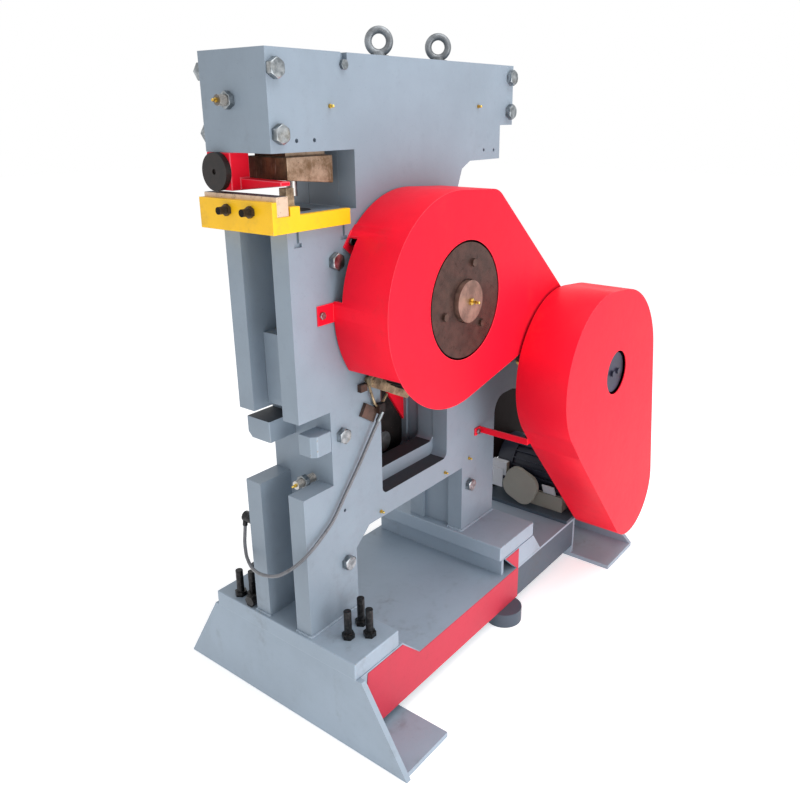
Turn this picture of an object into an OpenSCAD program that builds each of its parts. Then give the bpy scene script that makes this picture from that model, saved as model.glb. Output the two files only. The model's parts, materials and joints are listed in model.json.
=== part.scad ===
// Mechanical ironworker: two thick side plates tied over centre blocks,
// a punching throat at the top front, a notching slide below it, an eccentric
// drive through two gear stages and a belt, and a welded base.
// X runs from the punching end to the motor end, Y across, Z up.

/* [Frame] */
// Height of the top of the beam above the floor
frame_h = 1650; // [1640:1:1670]
// Thickness of each side plate
plate_t = 52; // [48:1:56]
// Gap between the side plates, filled by the centre blocks
core_w = 100; // [100:1:108]
// Height of the top beam
beam_h = 200; // [196:1:206]
// Reach of the beam in front of the column
beam_nose = 30; // [26:1:36]
// Length of the beam behind the column's front face
beam_len = 832; // [826:1:840]
// Length of the bolted lug at the rear of the beam
lug_len = 64; // [60:1:70]
// Height of the bolted lug
lug_h = 157; // [150:1:162]
// Depth of the punching throat
throat_depth = 219; // [215:1:225]
// Height of the punching throat
throat_h = 130; // [128:1:134]
// Distance of the column's rear edge from its front face
column_d = 628; // [622:1:634]
// Height of the notching gap's lower edge
notch_z = 658; // [654:1:664]
// Height of the notching gap
notch_h = 194; // [190:1:198]
// Depth of the notching gap
notch_d = 103; // [98:1:108]
// Width of the front leg
front_leg_w = 178; // [172:1:184]
// Distance of the rear leg from the column's front face
rear_leg_x = 665; // [660:1:670]
// Width of the rear leg
rear_leg_w = 180; // [174:1:186]
// Height of the arch between the legs
arch_z = 492; // [484:1:498]
// Length of the shear window
window_l = 295; // [290:1:300]
// Height of the shear window
window_h = 320; // [316:1:324]

/* [Base] */
// Half the length of each foot along Y
foot_half = 412; // [405:1:425]
// Width of each foot along X
foot_w = 180; // [170:1:190]
// Thickness of the foot plates
foot_t = 15; // [12:1:18]
// Height of the top of the pads that carry the column
pad_z = 271; // [266:1:276]
// Thickness of the pads
pad_t = 47; // [42:1:50]
// Half the width of the pads along Y
pad_half = 258; // [252:1:264]
// Height of the top of the side rails
rail_top = 155; // [150:1:160]
// Thickness of the deck plate between the rails
deck_t = 8; // [6:1:10]
// Distance of the rear foot's upright plate
rear_foot_x = 1144; // [1136:1:1152]

/* [Punching end] */
// Length of the punch ram along X
ram_l = 120; // [116:1:122]
// Working stroke of the punch ram
ram_stroke = 33; // [30:1:34]
// Diameter of the punch
punch_d = 24; // [18:1:30]
// Clearance between punch and die, on the diameter
die_gap = 2; // [1:0.5:3]
// Thickness of the yellow table's plates
table_t = 14; // [12:1:16]
// Height of the table's front plate
table_h = 66; // [60:1:68]
// Diameter of the round cap on the hold-down bracket
cap_d = 80; // [74:1:84]

/* [Drive] */
// Throw of the eccentric
throw = 8; // [6:1:9]
// Diameter of the eccentric shaft's journals
crank_d = 90; // [84:1:92]
// Thickness of the bull gear
bull_t = 60; // [50:1:64]
// Thickness of the idler gear
idler_t = 34; // [30:1:36]
// Diameter of the drive shaft
drive_d = 60; // [54:1:64]
// Radius of the large belt pulley
pulley_r = 245; // [236:1:248]
// Radius of the motor pulley
motor_pulley_r = 62; // [56:1:70]
// Radius of the motor's body
motor_r = 104; // [98:1:106]
// Length of the motor's body
motor_l = 300; // [280:1:320]

/* [Guards] */
// Thickness of the guard sheet
sheet_t = 3; // [2:0.5:4]
// Depth of the gear guard
gear_guard_d = 162; // [156:1:166]
// Depth of the belt guard
belt_guard_d = 160; // [154:1:164]
// Radius of the round opening in the gear guard
gear_opening_r = 150; // [140:1:155]
// Radius of the round opening in the belt guard
belt_opening_r = 68; // [60:1:74]

/* [Fasteners] */
// Nominal diameter of the tie bolts
tie_d = 24; // [22:1:26]
// Width across flats of the tie bolts' heads
tie_af = 36; // [34:1:38]

/* [Fits] */
// Clearance between sliding pieces, on each side
slide_gap = 0.4; // [0.3:0.1:0.6]
// Radial clearance of shafts in their bushes
run_gap = 0.05; // [0.03:0.01:0.08]
// Radial clearance of bolts in their holes
bolt_gap = 0.5; // [0.3:0.1:0.8]

/* [Hidden] */
$fn = 72;
eps = 0.01;

// Planes across the machine
core_y = core_w / 2;
side_y = core_y + plate_t;
// Heights
beam_z = frame_h - beam_h;
floor_z = beam_z - throat_h;
window_x = 288;
window_z = 558;
corner_r = 20;
front_plate_x = -8;
rail_y = 260;
rail_t = 14;
rail_z0 = 45;
pad_under = pad_z - pad_t;

// Shaft centres in the XZ plane
crank_x = 432;
crank_z = 1085;
idler_m = 5;
bull_m = 6;
bull_n = 82;
pinion2_n = 34;
idler_n = 107;
pinion1_n = 24;
stage2_cd = bull_m * (bull_n + pinion2_n) / 2;
stage1_cd = idler_m * (idler_n + pinion1_n) / 2;
drive_x = 1002;
drive_z = 778;
// The idler stands where both gear stages mesh
crank_drive_dx = drive_x - crank_x;
crank_drive_dz = drive_z - crank_z;
crank_drive_l = sqrt(crank_drive_dx * crank_drive_dx + crank_drive_dz * crank_drive_dz);
idler_along = (stage2_cd * stage2_cd - stage1_cd * stage1_cd
    + crank_drive_l * crank_drive_l) / (2 * crank_drive_l);
idler_off = sqrt(stage2_cd * stage2_cd - idler_along * idler_along);
idler_x = crank_x + (crank_drive_dx * idler_along - crank_drive_dz * idler_off) / crank_drive_l;
idler_z = crank_z + (crank_drive_dz * idler_along + crank_drive_dx * idler_off) / crank_drive_l;
motor_x = 1228;
motor_plate_t = 12;
motor_foot_h = 112;
motor_z = rail_top + motor_plate_t + motor_foot_h;

// Shaft and gear places across the machine
bull_y = -side_y - 30;
idler_y = core_y - 6;
guard_y = -side_y - 4;
gear_guard_y = guard_y - gear_guard_d;
belt_guard_y = gear_guard_y - 8;
belt_face_y = belt_guard_y - belt_guard_d;
pulley_w = 92;
pulley_y = belt_guard_y - 30;
pulley_end_y = pulley_y - pulley_w - 4;
bush_t = 10;
idler_d = 70;
motor_shaft_d = 38;

// Beam linkage
rocker_x = 726;
rocker_z = frame_h - 108;
ram_x = 118;
ram_w = core_w - 2 * slide_gap;
nose_r = 30;
pin_r = 22;
pin_half = core_y + 26;
rod_w = 40;
rod_y = -4;

// Tie bolt places on the side plates, as [x, z]
tie_places = [
    [-10, frame_h - 39], [-6, frame_h - 163], [beam_len + lug_len / 2 + 16, frame_h - 32],
    [beam_len + lug_len / 2 + 14, frame_h - 122], [140, floor_z - 111], [140, notch_z + 123],
    [140, arch_z - 68], [rear_leg_x + 39, arch_z - 70]
];
head_h = 15;
nut_h = 19;

// Route of the hanging control cable, from its ferrule to the far end
cable_d = 9;
cable_route = [
    [257, -118, 783], [222, -116, 736], [186, -114, 688], [136, -113, 630],
    [86, -113, 574], [43, -113, 545], [4, -114, 526], [-25, -94, 495],
    [-43, -62, 467], [-47, -28, 448], [-47, 18, 436], [-37, 62, 431],
    [-21, 100, 439], [-10, 118, 453], [-3, 127, 470], [3, 131, 490], [7, 132, 512]
];

// ---------- shared shapes ----------

// Extrudes an XZ outline from y0 to y1
module slab(y0, y1) {
    translate([0, y1, 0])
        rotate([90, 0, 0])
            linear_extrude(height = y1 - y0)
                children();
}

// Round bar along Y
module bar_y(x, z, y0, y1, r, fn = 72) {
    translate([x, y1, z])
        rotate([90, 0, 0])
            cylinder(h = y1 - y0, r = r, $fn = fn);
}

// Round bar along X
module bar_x(x0, x1, y, z, r, fn = 72) {
    translate([x0, y, z])
        rotate([0, 90, 0])
            cylinder(h = x1 - x0, r = r, $fn = fn);
}

// Box between two corners
module block(x0, x1, y0, y1, z0, z1) {
    translate([x0, y0, z0])
        cube([x1 - x0, y1 - y0, z1 - z0]);
}

function hex_r(af) = af / sqrt(3);

// Rectangle with round corners
module round_rect(x0, x1, z0, z1, r) {
    translate([x0 + r, z0])
        square([x1 - x0 - 2 * r, z1 - z0]);
    translate([x0, z0 + r])
        square([x1 - x0, z1 - z0 - 2 * r]);
    for (x = [x0 + r, x1 - r])
        for (z = [z0 + r, z1 - r])
            translate([x, z])
                circle(r = r);
}

// Unit vector square to the common tangent of two circles
function tangent(a, b, s) =
    let (d = b - a, l = norm([d.x, d.y]))
    let (t = atan2(d.y, d.x) + s * acos((a.z - b.z) / l))
    [cos(t), sin(t)];

// Two circles, each [x, z, r], joined by their outer tangents
module belt_shape(a, b) {
    up = tangent(a, b, 1);
    low = tangent(a, b, -1);
    translate([a.x, a.y])
        circle(r = a.z);
    translate([b.x, b.y])
        circle(r = b.z);
    polygon([
        [a.x, a.y] + a.z * up, [b.x, b.y] + b.z * up,
        [b.x, b.y] + b.z * low, [a.x, a.y] + a.z * low
    ]);
}

// Outline around three circles, drawn smaller by t
module guard_outline(c, t) {
    d = [for (k = c) [k.x, k.y, k.z - t]];
    belt_shape(d[0], d[1]);
    belt_shape(d[1], d[2]);
    belt_shape(d[0], d[2]);
    polygon([for (k = d) [k.x, k.y]]);
}

// Point on a spur gear's flank: radius r, on side s of tooth i
function flank(n, m, r, i, s, play) =
    let (rp = m * n / 2, rb = rp * cos(20))
    let (q = max(r, rb), w = acos(rb / q))
    let (half = (90 - play / m * 180 / PI) / n)
    let (a = half + (tan(20) - 20 * PI / 180 - tan(w) + w * PI / 180) * 180 / PI)
    let (t = 360 * i / n + s * a)
    [r * cos(t), r * sin(t)];

// Spur gear outline with a tooth on +X when turn is 0
module gear_outline(n, m, turn) {
    rp = m * n / 2;
    radii = [rp - 1.2 * m, rp - 0.1 * m, rp + 0.95 * m];
    play = 0.06 * m;
    rotate(turn)
        polygon([
            for (i = [0 : n - 1])
                for (k = [0 : 5])
                    k < 3 ? flank(n, m, radii[k], i, -1, play)
                          : flank(n, m, radii[5 - k], i, 1, play)
        ]);
}

// Hexagon head or nut on a bar along Y, from y0 to y1
module hex_y(x, z, y0, y1, af) {
    bar_y(x, z, y0, y1, hex_r(af), fn = 6);
}

// ---------- base ----------

// Foot: a flat plate on the floor and an upright plate with sloping ends
module foot(x, top_z, top_half) {
    block(x + foot_t, x + foot_w, -foot_half + 9, foot_half - 9, 0, foot_t);
    translate([x, 0, 0])
        rotate([90, 0, 90])
            linear_extrude(height = foot_t)
                polygon([[-foot_half, 0], [foot_half, 0], [top_half, top_z], [-top_half, top_z]]);
}

front_top_half = 274;
rear_flange_h = 47;
rear_flange_end = 34;
round_pad_x = 690;
round_pad_r = 57;

// Rear foot: a flat plate, a cross plate and a low flange at its far edge
module rear_foot() {
    rear_foot_end = rear_foot_x + foot_w + 20;
    block(rear_foot_x, rear_foot_end, -foot_half + 9, foot_half - 9, 0, foot_t);
    block(rear_foot_x, rear_foot_x + foot_t, -pad_half, pad_half, foot_t - 1, rail_top - deck_t);
    translate([rear_foot_end - foot_t, 0, 0])
        rotate([90, 0, 90])
            linear_extrude(height = foot_t)
                polygon([
                    [-foot_half + 9, 0], [foot_half - 9, 0], [foot_half - 9, foot_t],
                    [foot_half - 9 - rear_flange_end, rear_flange_h],
                    [-foot_half + 9 + rear_flange_end, rear_flange_h], [-foot_half + 9, foot_t]
                ]);
}

// Feet of the base, with the two round pads under the rails
module floor_feet() {
    color([0.52, 0.60, 0.67]) {
        foot(front_plate_x, pad_under, front_top_half);
        rear_foot();
    }
    color([0.34, 0.38, 0.42])
        for (s = [-1, 1])
            translate([round_pad_x, s * (rail_y - 8), 0])
                cylinder(h = rail_z0, r = round_pad_r);
}

front_pad_x = -11;
front_pad_l = 168;
rear_pad_x = 650;
rear_pad_l = 202;
rail_x = front_plate_x + foot_t;

module column_pads() {
    color([0.55, 0.63, 0.70]) {
        block(front_pad_x, front_pad_x + front_pad_l, -pad_half, pad_half, pad_under, pad_z);
        block(rear_pad_x, rear_pad_x + rear_pad_l, -pad_half, pad_half, pad_under, pad_z);
    }
}

module deck_plate() {
    color([0.53, 0.61, 0.68])
        block(rail_x, rear_foot_x + foot_t, -rail_y, rail_y, rail_top - deck_t, rail_top);
}

// Rail below the deck plate, and the gussets above it that carry the pads
module rail_profile() {
    translate([rail_x, rail_z0])
        square([rear_foot_x - rail_x, rail_top - deck_t - rail_z0]);
    polygon([
        [rail_x, rail_top], [rail_x + front_gusset, rail_top],
        [front_pad_x + front_pad_l + 14, pad_under], [rail_x, pad_under]
    ]);
    polygon([
        [rear_pad_x + 97, rail_top], [rear_pad_x + rear_pad_l + 50, rail_top],
        [rear_pad_x + rear_pad_l, pad_under], [rear_pad_x + 25, pad_under]
    ]);
}

front_gusset = 235;
web_t = 12;

// Side rails and gussets, with the cross webs under the pads
module side_rails() {
    color([0.42, 0.47, 0.53]) {
        for (s = [-1, 1])
            slab(s * (rail_y - rail_t / 2) - rail_t / 2, s * (rail_y - rail_t / 2) + rail_t / 2)
                rail_profile();
        for (x = [front_pad_x + front_pad_l - 16, rear_pad_x + 30, rear_pad_x + rear_pad_l - 20])
            block(x, x + web_t, -rail_y + rail_t, rail_y - rail_t, rail_top, pad_under);
    }
}

skirt_t = 2;
skirt_l = 757;

// Painted cover sheet on the near rail
module red_skirt() {
    color([0.88, 0.27, 0.36])
        slab(-rail_y - skirt_t, -rail_y)
            polygon([
                [rail_x, rail_z0], [skirt_l, rail_z0], [skirt_l, pad_under - 3],
                [skirt_l - 79, pad_under - 3], [skirt_l - 8, rail_top - 1],
                [rail_x + front_gusset - 2, rail_top - 1],
                [front_pad_x + front_pad_l + 12, pad_under - 3], [rail_x + 24, pad_under - 3]
            ]);
}

// Motor plate over the rear foot, with two ribs down to it
module motor_plate() {
    color([0.42, 0.47, 0.53]) {
        block(motor_x - 138, motor_x + 112, -rail_y, 90, rail_top, rail_top + motor_plate_t);
        for (y = [-140, 10])
            slab(y, y + web_t)
                polygon([
                    [rear_foot_x + foot_t, foot_t], [rear_foot_x + foot_w - 20, foot_t],
                    [motor_x + 96, rail_top], [rear_foot_x + foot_t, rail_top]
                ]);
    }
}

// Spare bolts that stand head down on the front pad, each [x, y]
bolt_places = [[59, -173], [98, -211], [121, -162], [18, 190], [34, 158], [66, 180]];
spare_af = 30;
spare_head = 13;
spare_l = 78;
spare_r = 10;

module spare_bolt() {
    cylinder(h = spare_head, r = hex_r(spare_af), $fn = 6);
    cylinder(h = spare_l, r = spare_r);
}

// Loose spare bolts, one of them lying on a flat of its head
module base_bolts() {
    color([0.12, 0.12, 0.13]) {
        for (p = bolt_places)
            translate([p.x, p.y, pad_z])
                spare_bolt();
        translate([-6, 128, pad_z + spare_af / 2 + 0.05])
            rotate([0, 90, 0])
                rotate([0, 0, 30])
                    spare_bolt();
    }
}

// ---------- frame ----------

idler_boss_r = 268;
drive_boss_r = 118;
shelf_z = drive_z - 108;
leg_fillet_r = 55;

// Outline of a side plate before any cut
module plate_blank() {
    polygon([
        [0, pad_z], [front_leg_w, pad_z], [front_leg_w, arch_z - 46],
        [front_leg_w + 54, arch_z], [rear_leg_x, arch_z], [rear_leg_x, pad_z],
        [rear_leg_x + rear_leg_w, pad_z], [rear_leg_x + rear_leg_w, shelf_z], [drive_x, shelf_z],
        [drive_x, drive_z + 90], [idler_x, idler_z + 100], [column_d, idler_z + 100],
        [column_d, beam_z - 110], [column_d + 18, beam_z - 66], [column_d + 56, beam_z - 47],
        [beam_len, beam_z - 47], [beam_len, frame_h - lug_h],
        [beam_len + lug_len, frame_h - lug_h], [beam_len + lug_len, frame_h],
        [-beam_nose, frame_h], [-beam_nose, beam_z], [throat_depth, beam_z],
        [throat_depth, floor_z], [0, floor_z], [0, notch_z + notch_h],
        [notch_d, notch_z + notch_h], [notch_d, notch_z], [0, notch_z]
    ]);
    belt_shape([idler_x, idler_z, idler_boss_r], [drive_x, drive_z, drive_boss_r]);
    difference() {
        translate([rear_leg_x + rear_leg_w - 1, shelf_z - leg_fillet_r])
            square([leg_fillet_r + 1, leg_fillet_r + 1]);
        translate([rear_leg_x + rear_leg_w + leg_fillet_r, shelf_z - leg_fillet_r])
            circle(r = leg_fillet_r);
    }
}

// Screw slots under the table's arms
slot_x = [30, 174];

module plate_cuts() {
    round_rect(window_x, window_x + window_l, window_z, window_z + window_h, corner_r);
    for (p = tie_places)
        translate(p)
            circle(r = tie_d / 2 + bolt_gap);
    translate([crank_x, crank_z])
        circle(r = crank_d / 2 + bush_t);
    translate([idler_x, idler_z])
        circle(r = idler_d / 2 + bush_t);
    translate([drive_x, drive_z])
        circle(r = drive_d / 2 + bush_t);
}

module side_plate(y0, y1) {
    difference() {
        slab(y0, y1)
            difference() {
                plate_blank();
                plate_cuts();
            }
        bar_y(rocker_x, rocker_z, -pin_half - 1, pin_half + 1, pin_r + run_gap);
        children();
    }
}

tapped_holes = [
    [43, beam_z + 23], [95, beam_z + 23], [751, beam_z - 21], [802, beam_z - 23],
    [140, notch_z - 84]
];
slot_depth = 6;
slot_half = 4;
slot_foot_half = 11;
slot_z0 = floor_z - 66;
top_slot_x0 = 184;
top_slot_x1 = 204;
top_slot_h = 23;
top_slot_depth = 14;

module side_plate_near() {
    color([0.60, 0.67, 0.74])
        side_plate(-side_y, -core_y) {
            for (p = tapped_holes)
                bar_y(p.x, p.y, -side_y - 1, -side_y + 16, 4.5, fn = 24);
            for (x = slot_x) {
                block(x - slot_half, x + slot_half, -side_y - 1, -side_y + slot_depth,
                    slot_z0, table_z + 1);
                block(x - slot_foot_half, x + slot_foot_half, -side_y - 1,
                    -side_y + slot_depth, slot_z0, slot_z0 + 9);
            }
            block(top_slot_x0, top_slot_x1, -side_y - 1, -side_y + top_slot_depth,
                frame_h - top_slot_h, frame_h + 1);
        }
}

module side_plate_far() {
    color([0.56, 0.63, 0.70])
        side_plate(core_y, side_y)
            for (x = slot_x)
                block(x - slot_half, x + slot_half, side_y - slot_depth, side_y + 1,
                    slot_z0, table_z + 1);
}

ram_pocket_x0 = ram_x - ram_l / 2 - slide_gap;
ram_pocket_x1 = ram_x + ram_l / 2 + slide_gap;
cavity_z0 = beam_z + 26;
cavity_z1 = frame_h - 46;

module tie_holes(list) {
    for (p = list)
        bar_y(p.x, p.y, -core_y - 1, core_y + 1, tie_d / 2 + bolt_gap);
}

module beam_core() {
    color([0.53, 0.60, 0.66])
        difference() {
            slab(-core_y, core_y)
                difference() {
                    polygon([
                        [-beam_nose, beam_z], [beam_len, beam_z], [beam_len, frame_h - lug_h],
                        [beam_len + lug_len, frame_h - lug_h],
                        [beam_len + lug_len, frame_h], [-beam_nose, frame_h]
                    ]);
                    translate([ram_pocket_x0, beam_z - 1])
                        square([ram_pocket_x1 - ram_pocket_x0, beam_h - 16]);
                    translate([ram_pocket_x1 - 1, cavity_z0])
                        square([rocker_x + 58 - ram_pocket_x1, cavity_z1 - cavity_z0]);
                    translate([crank_x - 60, beam_z - 1])
                        square([120, 60]);
                }
            tie_holes([for (i = [0 : 3]) tie_places[i]]);
            bar_x(-beam_nose - 1, -beam_nose + 60, stud_y, stud_z, stud_r);
            for (x = eye_x)
                translate([x, 0, frame_h - 30])
                    cylinder(h = 31, r = eye_shank_r);
        }
}

module throat_block() {
    color([0.53, 0.60, 0.66])
        difference() {
            slab(-core_y, core_y)
                polygon([
                    [0, floor_z - 30], [throat_depth + 108, floor_z - 30],
                    [throat_depth + 108, beam_z], [throat_depth, beam_z],
                    [throat_depth, floor_z], [0, floor_z]
                ]);
            translate([ram_x, 0, floor_z - 31])
                cylinder(h = 32, r = slug_r);
            translate([ram_x, 0, floor_z - die_h])
                cylinder(h = die_h + 1, r = die_r);
        }
}

post_x = notch_d;
post_back_x = front_leg_w + 54;

module front_post() {
    color([0.50, 0.57, 0.63])
        difference() {
            slab(-core_y, core_y)
                polygon([
                    [post_x, pad_z], [front_leg_w, pad_z], [front_leg_w, arch_z - 46],
                    [post_back_x, arch_z], [post_back_x, floor_z - 30], [post_x, floor_z - 30]
                ]);
            tie_holes([for (i = [4 : 6]) tie_places[i]]);
            bar_x(post_x - 1, post_x + 20, notch_stud_y, notch_stud_z, stud_r);
        }
}

module rear_post() {
    color([0.50, 0.57, 0.63])
        difference() {
            block(rear_leg_x + 12, rear_leg_x + rear_leg_w - 14, -core_y, core_y, pad_z,
                arch_z + 148);
            tie_holes([tie_places[7]]);
        }
}

window_wall_x = window_x + window_l + 2;
window_sill_z = window_z + 42;
wall_top_z = window_z + 217;
sill_fillet = 20;
layer_y = 8;

// Sill and rear wall of the shear window, higher on the near side
module window_block() {
    color([0.55, 0.62, 0.69]) {
        slab(-core_y, layer_y) {
            polygon([
                [post_back_x, arch_z], [window_wall_x + 60, arch_z],
                [window_wall_x + 60, wall_top_z - 40], [window_wall_x + 20, wall_top_z],
                [window_wall_x, wall_top_z], [window_wall_x, window_sill_z],
                [post_back_x, window_sill_z]
            ]);
            difference() {
                translate([window_wall_x - sill_fillet, window_sill_z - 1])
                    square([sill_fillet + 1, sill_fillet + 1]);
                translate([window_wall_x - sill_fillet, window_sill_z + sill_fillet])
                    circle(r = sill_fillet);
            }
        }
        slab(layer_y, core_y)
            polygon([
                [post_back_x, arch_z], [window_wall_x + 60, arch_z],
                [window_wall_x + 60, wall_top_z - 40], [window_wall_x + 20, wall_top_z],
                [window_wall_x + 6, wall_top_z], [window_wall_x + 6, window_z],
                [post_back_x, window_z]
            ]);
    }
}

blade_y0 = core_y + 18;
blade_t = 12;
boss_r = 32;
bar_hole = 60;
bar_hole_x = window_x + 42;
bar_hole_z = window_z + 52;

// Fixed blade plate in the far window, with a boss and a red hold-down plate
module shear_blades() {
    color([0.16, 0.16, 0.17])
        difference() {
            slab(blade_y0, blade_y0 + blade_t)
                round_rect(window_x, window_x + window_l, window_z, window_z + window_h, corner_r);
            block(bar_hole_x, bar_hole_x + bar_hole, blade_y0 - 1, blade_y0 + blade_t + 1,
                bar_hole_z, bar_hole_z + bar_hole);
        }
    color([0.42, 0.41, 0.40])
        bar_y(window_x + 194, window_z + 45, blade_y0 - 12, blade_y0, boss_r);
    color([0.70, 0.08, 0.10])
        slab(blade_y0 - 8, blade_y0)
            polygon([
                [window_x + 202, window_z + 220], [window_x + window_l, window_z + 84],
                [window_x + window_l, window_z + 220]
            ]);
}

module tie_bolts() {
    color([0.78, 0.79, 0.80])
        for (p = tie_places) {
            hex_y(p.x, p.y, -side_y - head_h, -side_y, tie_af);
            bar_y(p.x, p.y, -side_y - head_h - 1, side_y + nut_h + 8, tie_d / 2);
        }
}

module tie_nuts() {
    color([0.78, 0.79, 0.80])
        for (p = tie_places)
            difference() {
                hex_y(p.x, p.y, side_y, side_y + nut_h, tie_af);
                bar_y(p.x, p.y, side_y - 1, side_y + nut_h + 1, tie_d / 2);
            }
}

eye_x = [432, 675];
eye_shank_r = 11;
eye_ring_r = 26;
eye_rod_r = 9;
eye_centre = 41;
eye_turn = -52;

module eye_bolts() {
    color([0.42, 0.44, 0.47])
        for (x = eye_x)
            translate([x, 0, frame_h]) {
                translate([0, 0, -25])
                    cylinder(h = 30, r = eye_shank_r);
                cylinder(h = 9, r = 24);
                translate([0, 0, 8])
                    cylinder(h = eye_centre - eye_ring_r - 6, r = 15);
                translate([0, 0, eye_centre])
                    rotate([90, 0, eye_turn])
                        rotate_extrude()
                            translate([eye_ring_r, 0])
                                circle(r = eye_rod_r, $fn = 36);
            }
}

// Grease nipples on the near side plate, each [x, z]
nipple_places = [
    [145, frame_h - 109], [718, frame_h - 108], [701, arch_z + 20], [573, arch_z + 20],
    [278, arch_z + 19]
];

// Small nipple standing out of a face at the origin towards +Z
module nipple() {
    cylinder(h = 4, r = 5, $fn = 6);
    cylinder(h = 10, r = 3);
    translate([0, 0, 10])
        sphere(r = 3.4, $fn = 24);
}

module grease_nipples() {
    color([0.80, 0.66, 0.30]) {
        for (p = nipple_places)
            translate([p.x, -side_y, p.y])
                rotate([90, 0, 0])
                    nipple();
        translate([-beam_nose - stud_out, stud_y, stud_z])
            rotate([0, -90, 0])
                nipple();
        translate([post_x - notch_stud_out, notch_stud_y, notch_stud_z])
            rotate([0, -90, 0])
                nipple();
    }
}

// Screws of the gear guard's ears, each [x, z, turn of the ear]
ear_places = [[88, crank_z + 8, 0], [193, crank_z + 162, -38]];
strap_x = 759;
strap_z = 590;

top_screw_z = frame_h - 25;

module small_screw(x, y, z) {
    hex_y(x, z, y - 7, y, 16);
}

module small_screws() {
    color([0.80, 0.81, 0.82]) {
        for (p = ear_places)
            small_screw(p.x, -side_y - sheet_t, p.y);
        small_screw(strap_x - 17, -side_y - strap_t, strap_z);
        hex_y(top_slot_x0 + 6, top_screw_z, -side_y - 8, -side_y, 20);
    }
}

// ---------- studs, table and throat ----------

stud_r = 11;
stud_y = 12;
stud_z = frame_h - 97;
stud_out = 32;
notch_stud_y = -32;
notch_stud_z = notch_z + 4;
notch_stud_out = 60;

module adjuster_studs() {
    color([0.72, 0.73, 0.75]) {
        bar_x(-beam_nose - stud_out, -beam_nose + 55, stud_y, stud_z, stud_r);
        bar_x(post_x - notch_stud_out, post_x + 18, notch_stud_y, notch_stud_z, stud_r);
    }
}

module stud_nut(x, y, z) {
    difference() {
        translate([x, y, z])
            rotate([0, -90, 0])
                cylinder(h = 14, r = hex_r(32), $fn = 6);
        bar_x(x - 15, x + 1, y, z, stud_r);
    }
}

module adjuster_nuts() {
    color([0.76, 0.77, 0.79]) {
        stud_nut(-beam_nose, stud_y, stud_z);
        stud_nut(post_x - notch_stud_out + 34, notch_stud_y, notch_stud_z);
    }
}

table_x = -50;
table_z = floor_z - 30;
table_y = side_y + table_t;
arm_end_x = 183;
arm_h = 35;
shelf_t = 12;
bar_l = 33;
bar_top = 76;

// U-shaped table: front plate, shelf and one arm on each side plate
module die_table() {
    color([0.99, 0.80, 0.12])
        difference() {
            union() {
                block(table_x, table_x + table_t, -table_y, table_y, table_z, table_z + table_h);
                block(table_x, -slide_gap, -table_y, table_y, table_z, table_z + shelf_t);
                for (s = [-1, 1])
                    block(table_x, arm_end_x, s > 0 ? side_y : -table_y,
                        s > 0 ? table_y : -side_y, table_z, table_z + arm_h);
                block(0, 28, -table_y, -side_y, table_z + arm_h - 1, table_z + arm_h + 18);
            }
            for (y = screw_y)
                bar_x(table_x - 1, table_x + table_t + 1, y, screw_z, screw_r);
        }
}

screw_y = [-52, 22];
screw_z = table_z + 44;
screw_r = 8;

module table_screws() {
    color([0.25, 0.22, 0.20])
        for (y = screw_y) {
            bar_x(table_x - 26, table_x + table_t, y, screw_z, screw_r);
            bar_x(table_x - 9, table_x, y, screw_z, hex_r(22), fn = 6);
        }
}

module die_bar() {
    color([0.62, 0.55, 0.47])
        block(table_x + table_t, table_x + table_t + bar_l, -table_y + 1, table_y - 1,
            table_z + arm_h, table_z + bar_top);
}

slug_r = 22;

die_r = 40;
die_h = 24;

// Die let into the throat's floor, and a worn stop block beside it
module lower_die() {
    color([0.45, 0.42, 0.38])
        translate([ram_x, 0, floor_z - die_h])
            difference() {
                cylinder(h = die_h, r = die_r);
                translate([0, 0, -1])
                    cylinder(h = die_h + 2, r = (punch_d + die_gap) / 2);
            }
    color([0.40, 0.33, 0.28])
        block(6, 28, -side_y + 1, -side_y + 23, floor_z, beam_z - 70);
}

hold_z = beam_z - 40;
hold_y = 64;

module hold_down() {
    color([0.78, 0.06, 0.10]) {
        block(-30, 22, hold_y - 38, hold_y + 38, hold_z - 39, beam_z);
        translate([22, 0, 0])
            rotate([90, 0, -90])
                linear_extrude(height = 27)
                    polygon([
                        [-hold_y + 38, hold_z - 39], [side_y - 4, hold_z - 26],
                        [side_y - 4, hold_z - 17], [-hold_y + 38, hold_z - 14]
                    ]);
    }
}

module hold_down_cap() {
    color([0.08, 0.07, 0.07])
        difference() {
            bar_x(-44, -30, hold_y, hold_z, cap_d / 2);
            bar_x(-45, -40, hold_y, hold_z, 6);
        }
}

near_die_x = 44;
far_die_x = 19;
far_die_y = 22;
near_die_cut = 12;
far_die_cut = 14;

// Notching die blocks on both sides of the slide, each with one edge cut off
module notch_dies() {
    color([0.56, 0.62, 0.68]) {
        translate([0, 0, notch_z + 92])
            linear_extrude(height = 54)
                polygon([
                    [near_die_x + near_die_cut, -side_y], [notch_d, -side_y],
                    [notch_d, -core_y], [near_die_x, -core_y],
                    [near_die_x, -side_y + near_die_cut]
                ]);
        translate([far_die_x, 0, notch_z + 110])
            rotate([90, 0, 90])
                linear_extrude(height = notch_d - far_die_x)
                    polygon([
                        [far_die_y, 0], [side_y - far_die_cut, 0], [side_y, far_die_cut],
                        [side_y, 56], [far_die_y, 56]
                    ]);
    }
}

// ---------- guards ----------

// Outline circles of the guards, each [x, z, r]
gear_guard_c = [[394, 1088, 268], [541, 1276, 72], [902, 983, 60]];
belt_guard_c = [[923, 791, 248], [1008, 745, 286], [1228, 284, 155]];
ear_h = 46;
ear_l = 73;
ear_hole_x = 13;
// Where the rim reaches down to each ear, each [x0, x1, z0, z1]
ear_welds = [[110, 160, 1074, 1112], [189, 212, 1250, 1290]];

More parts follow.
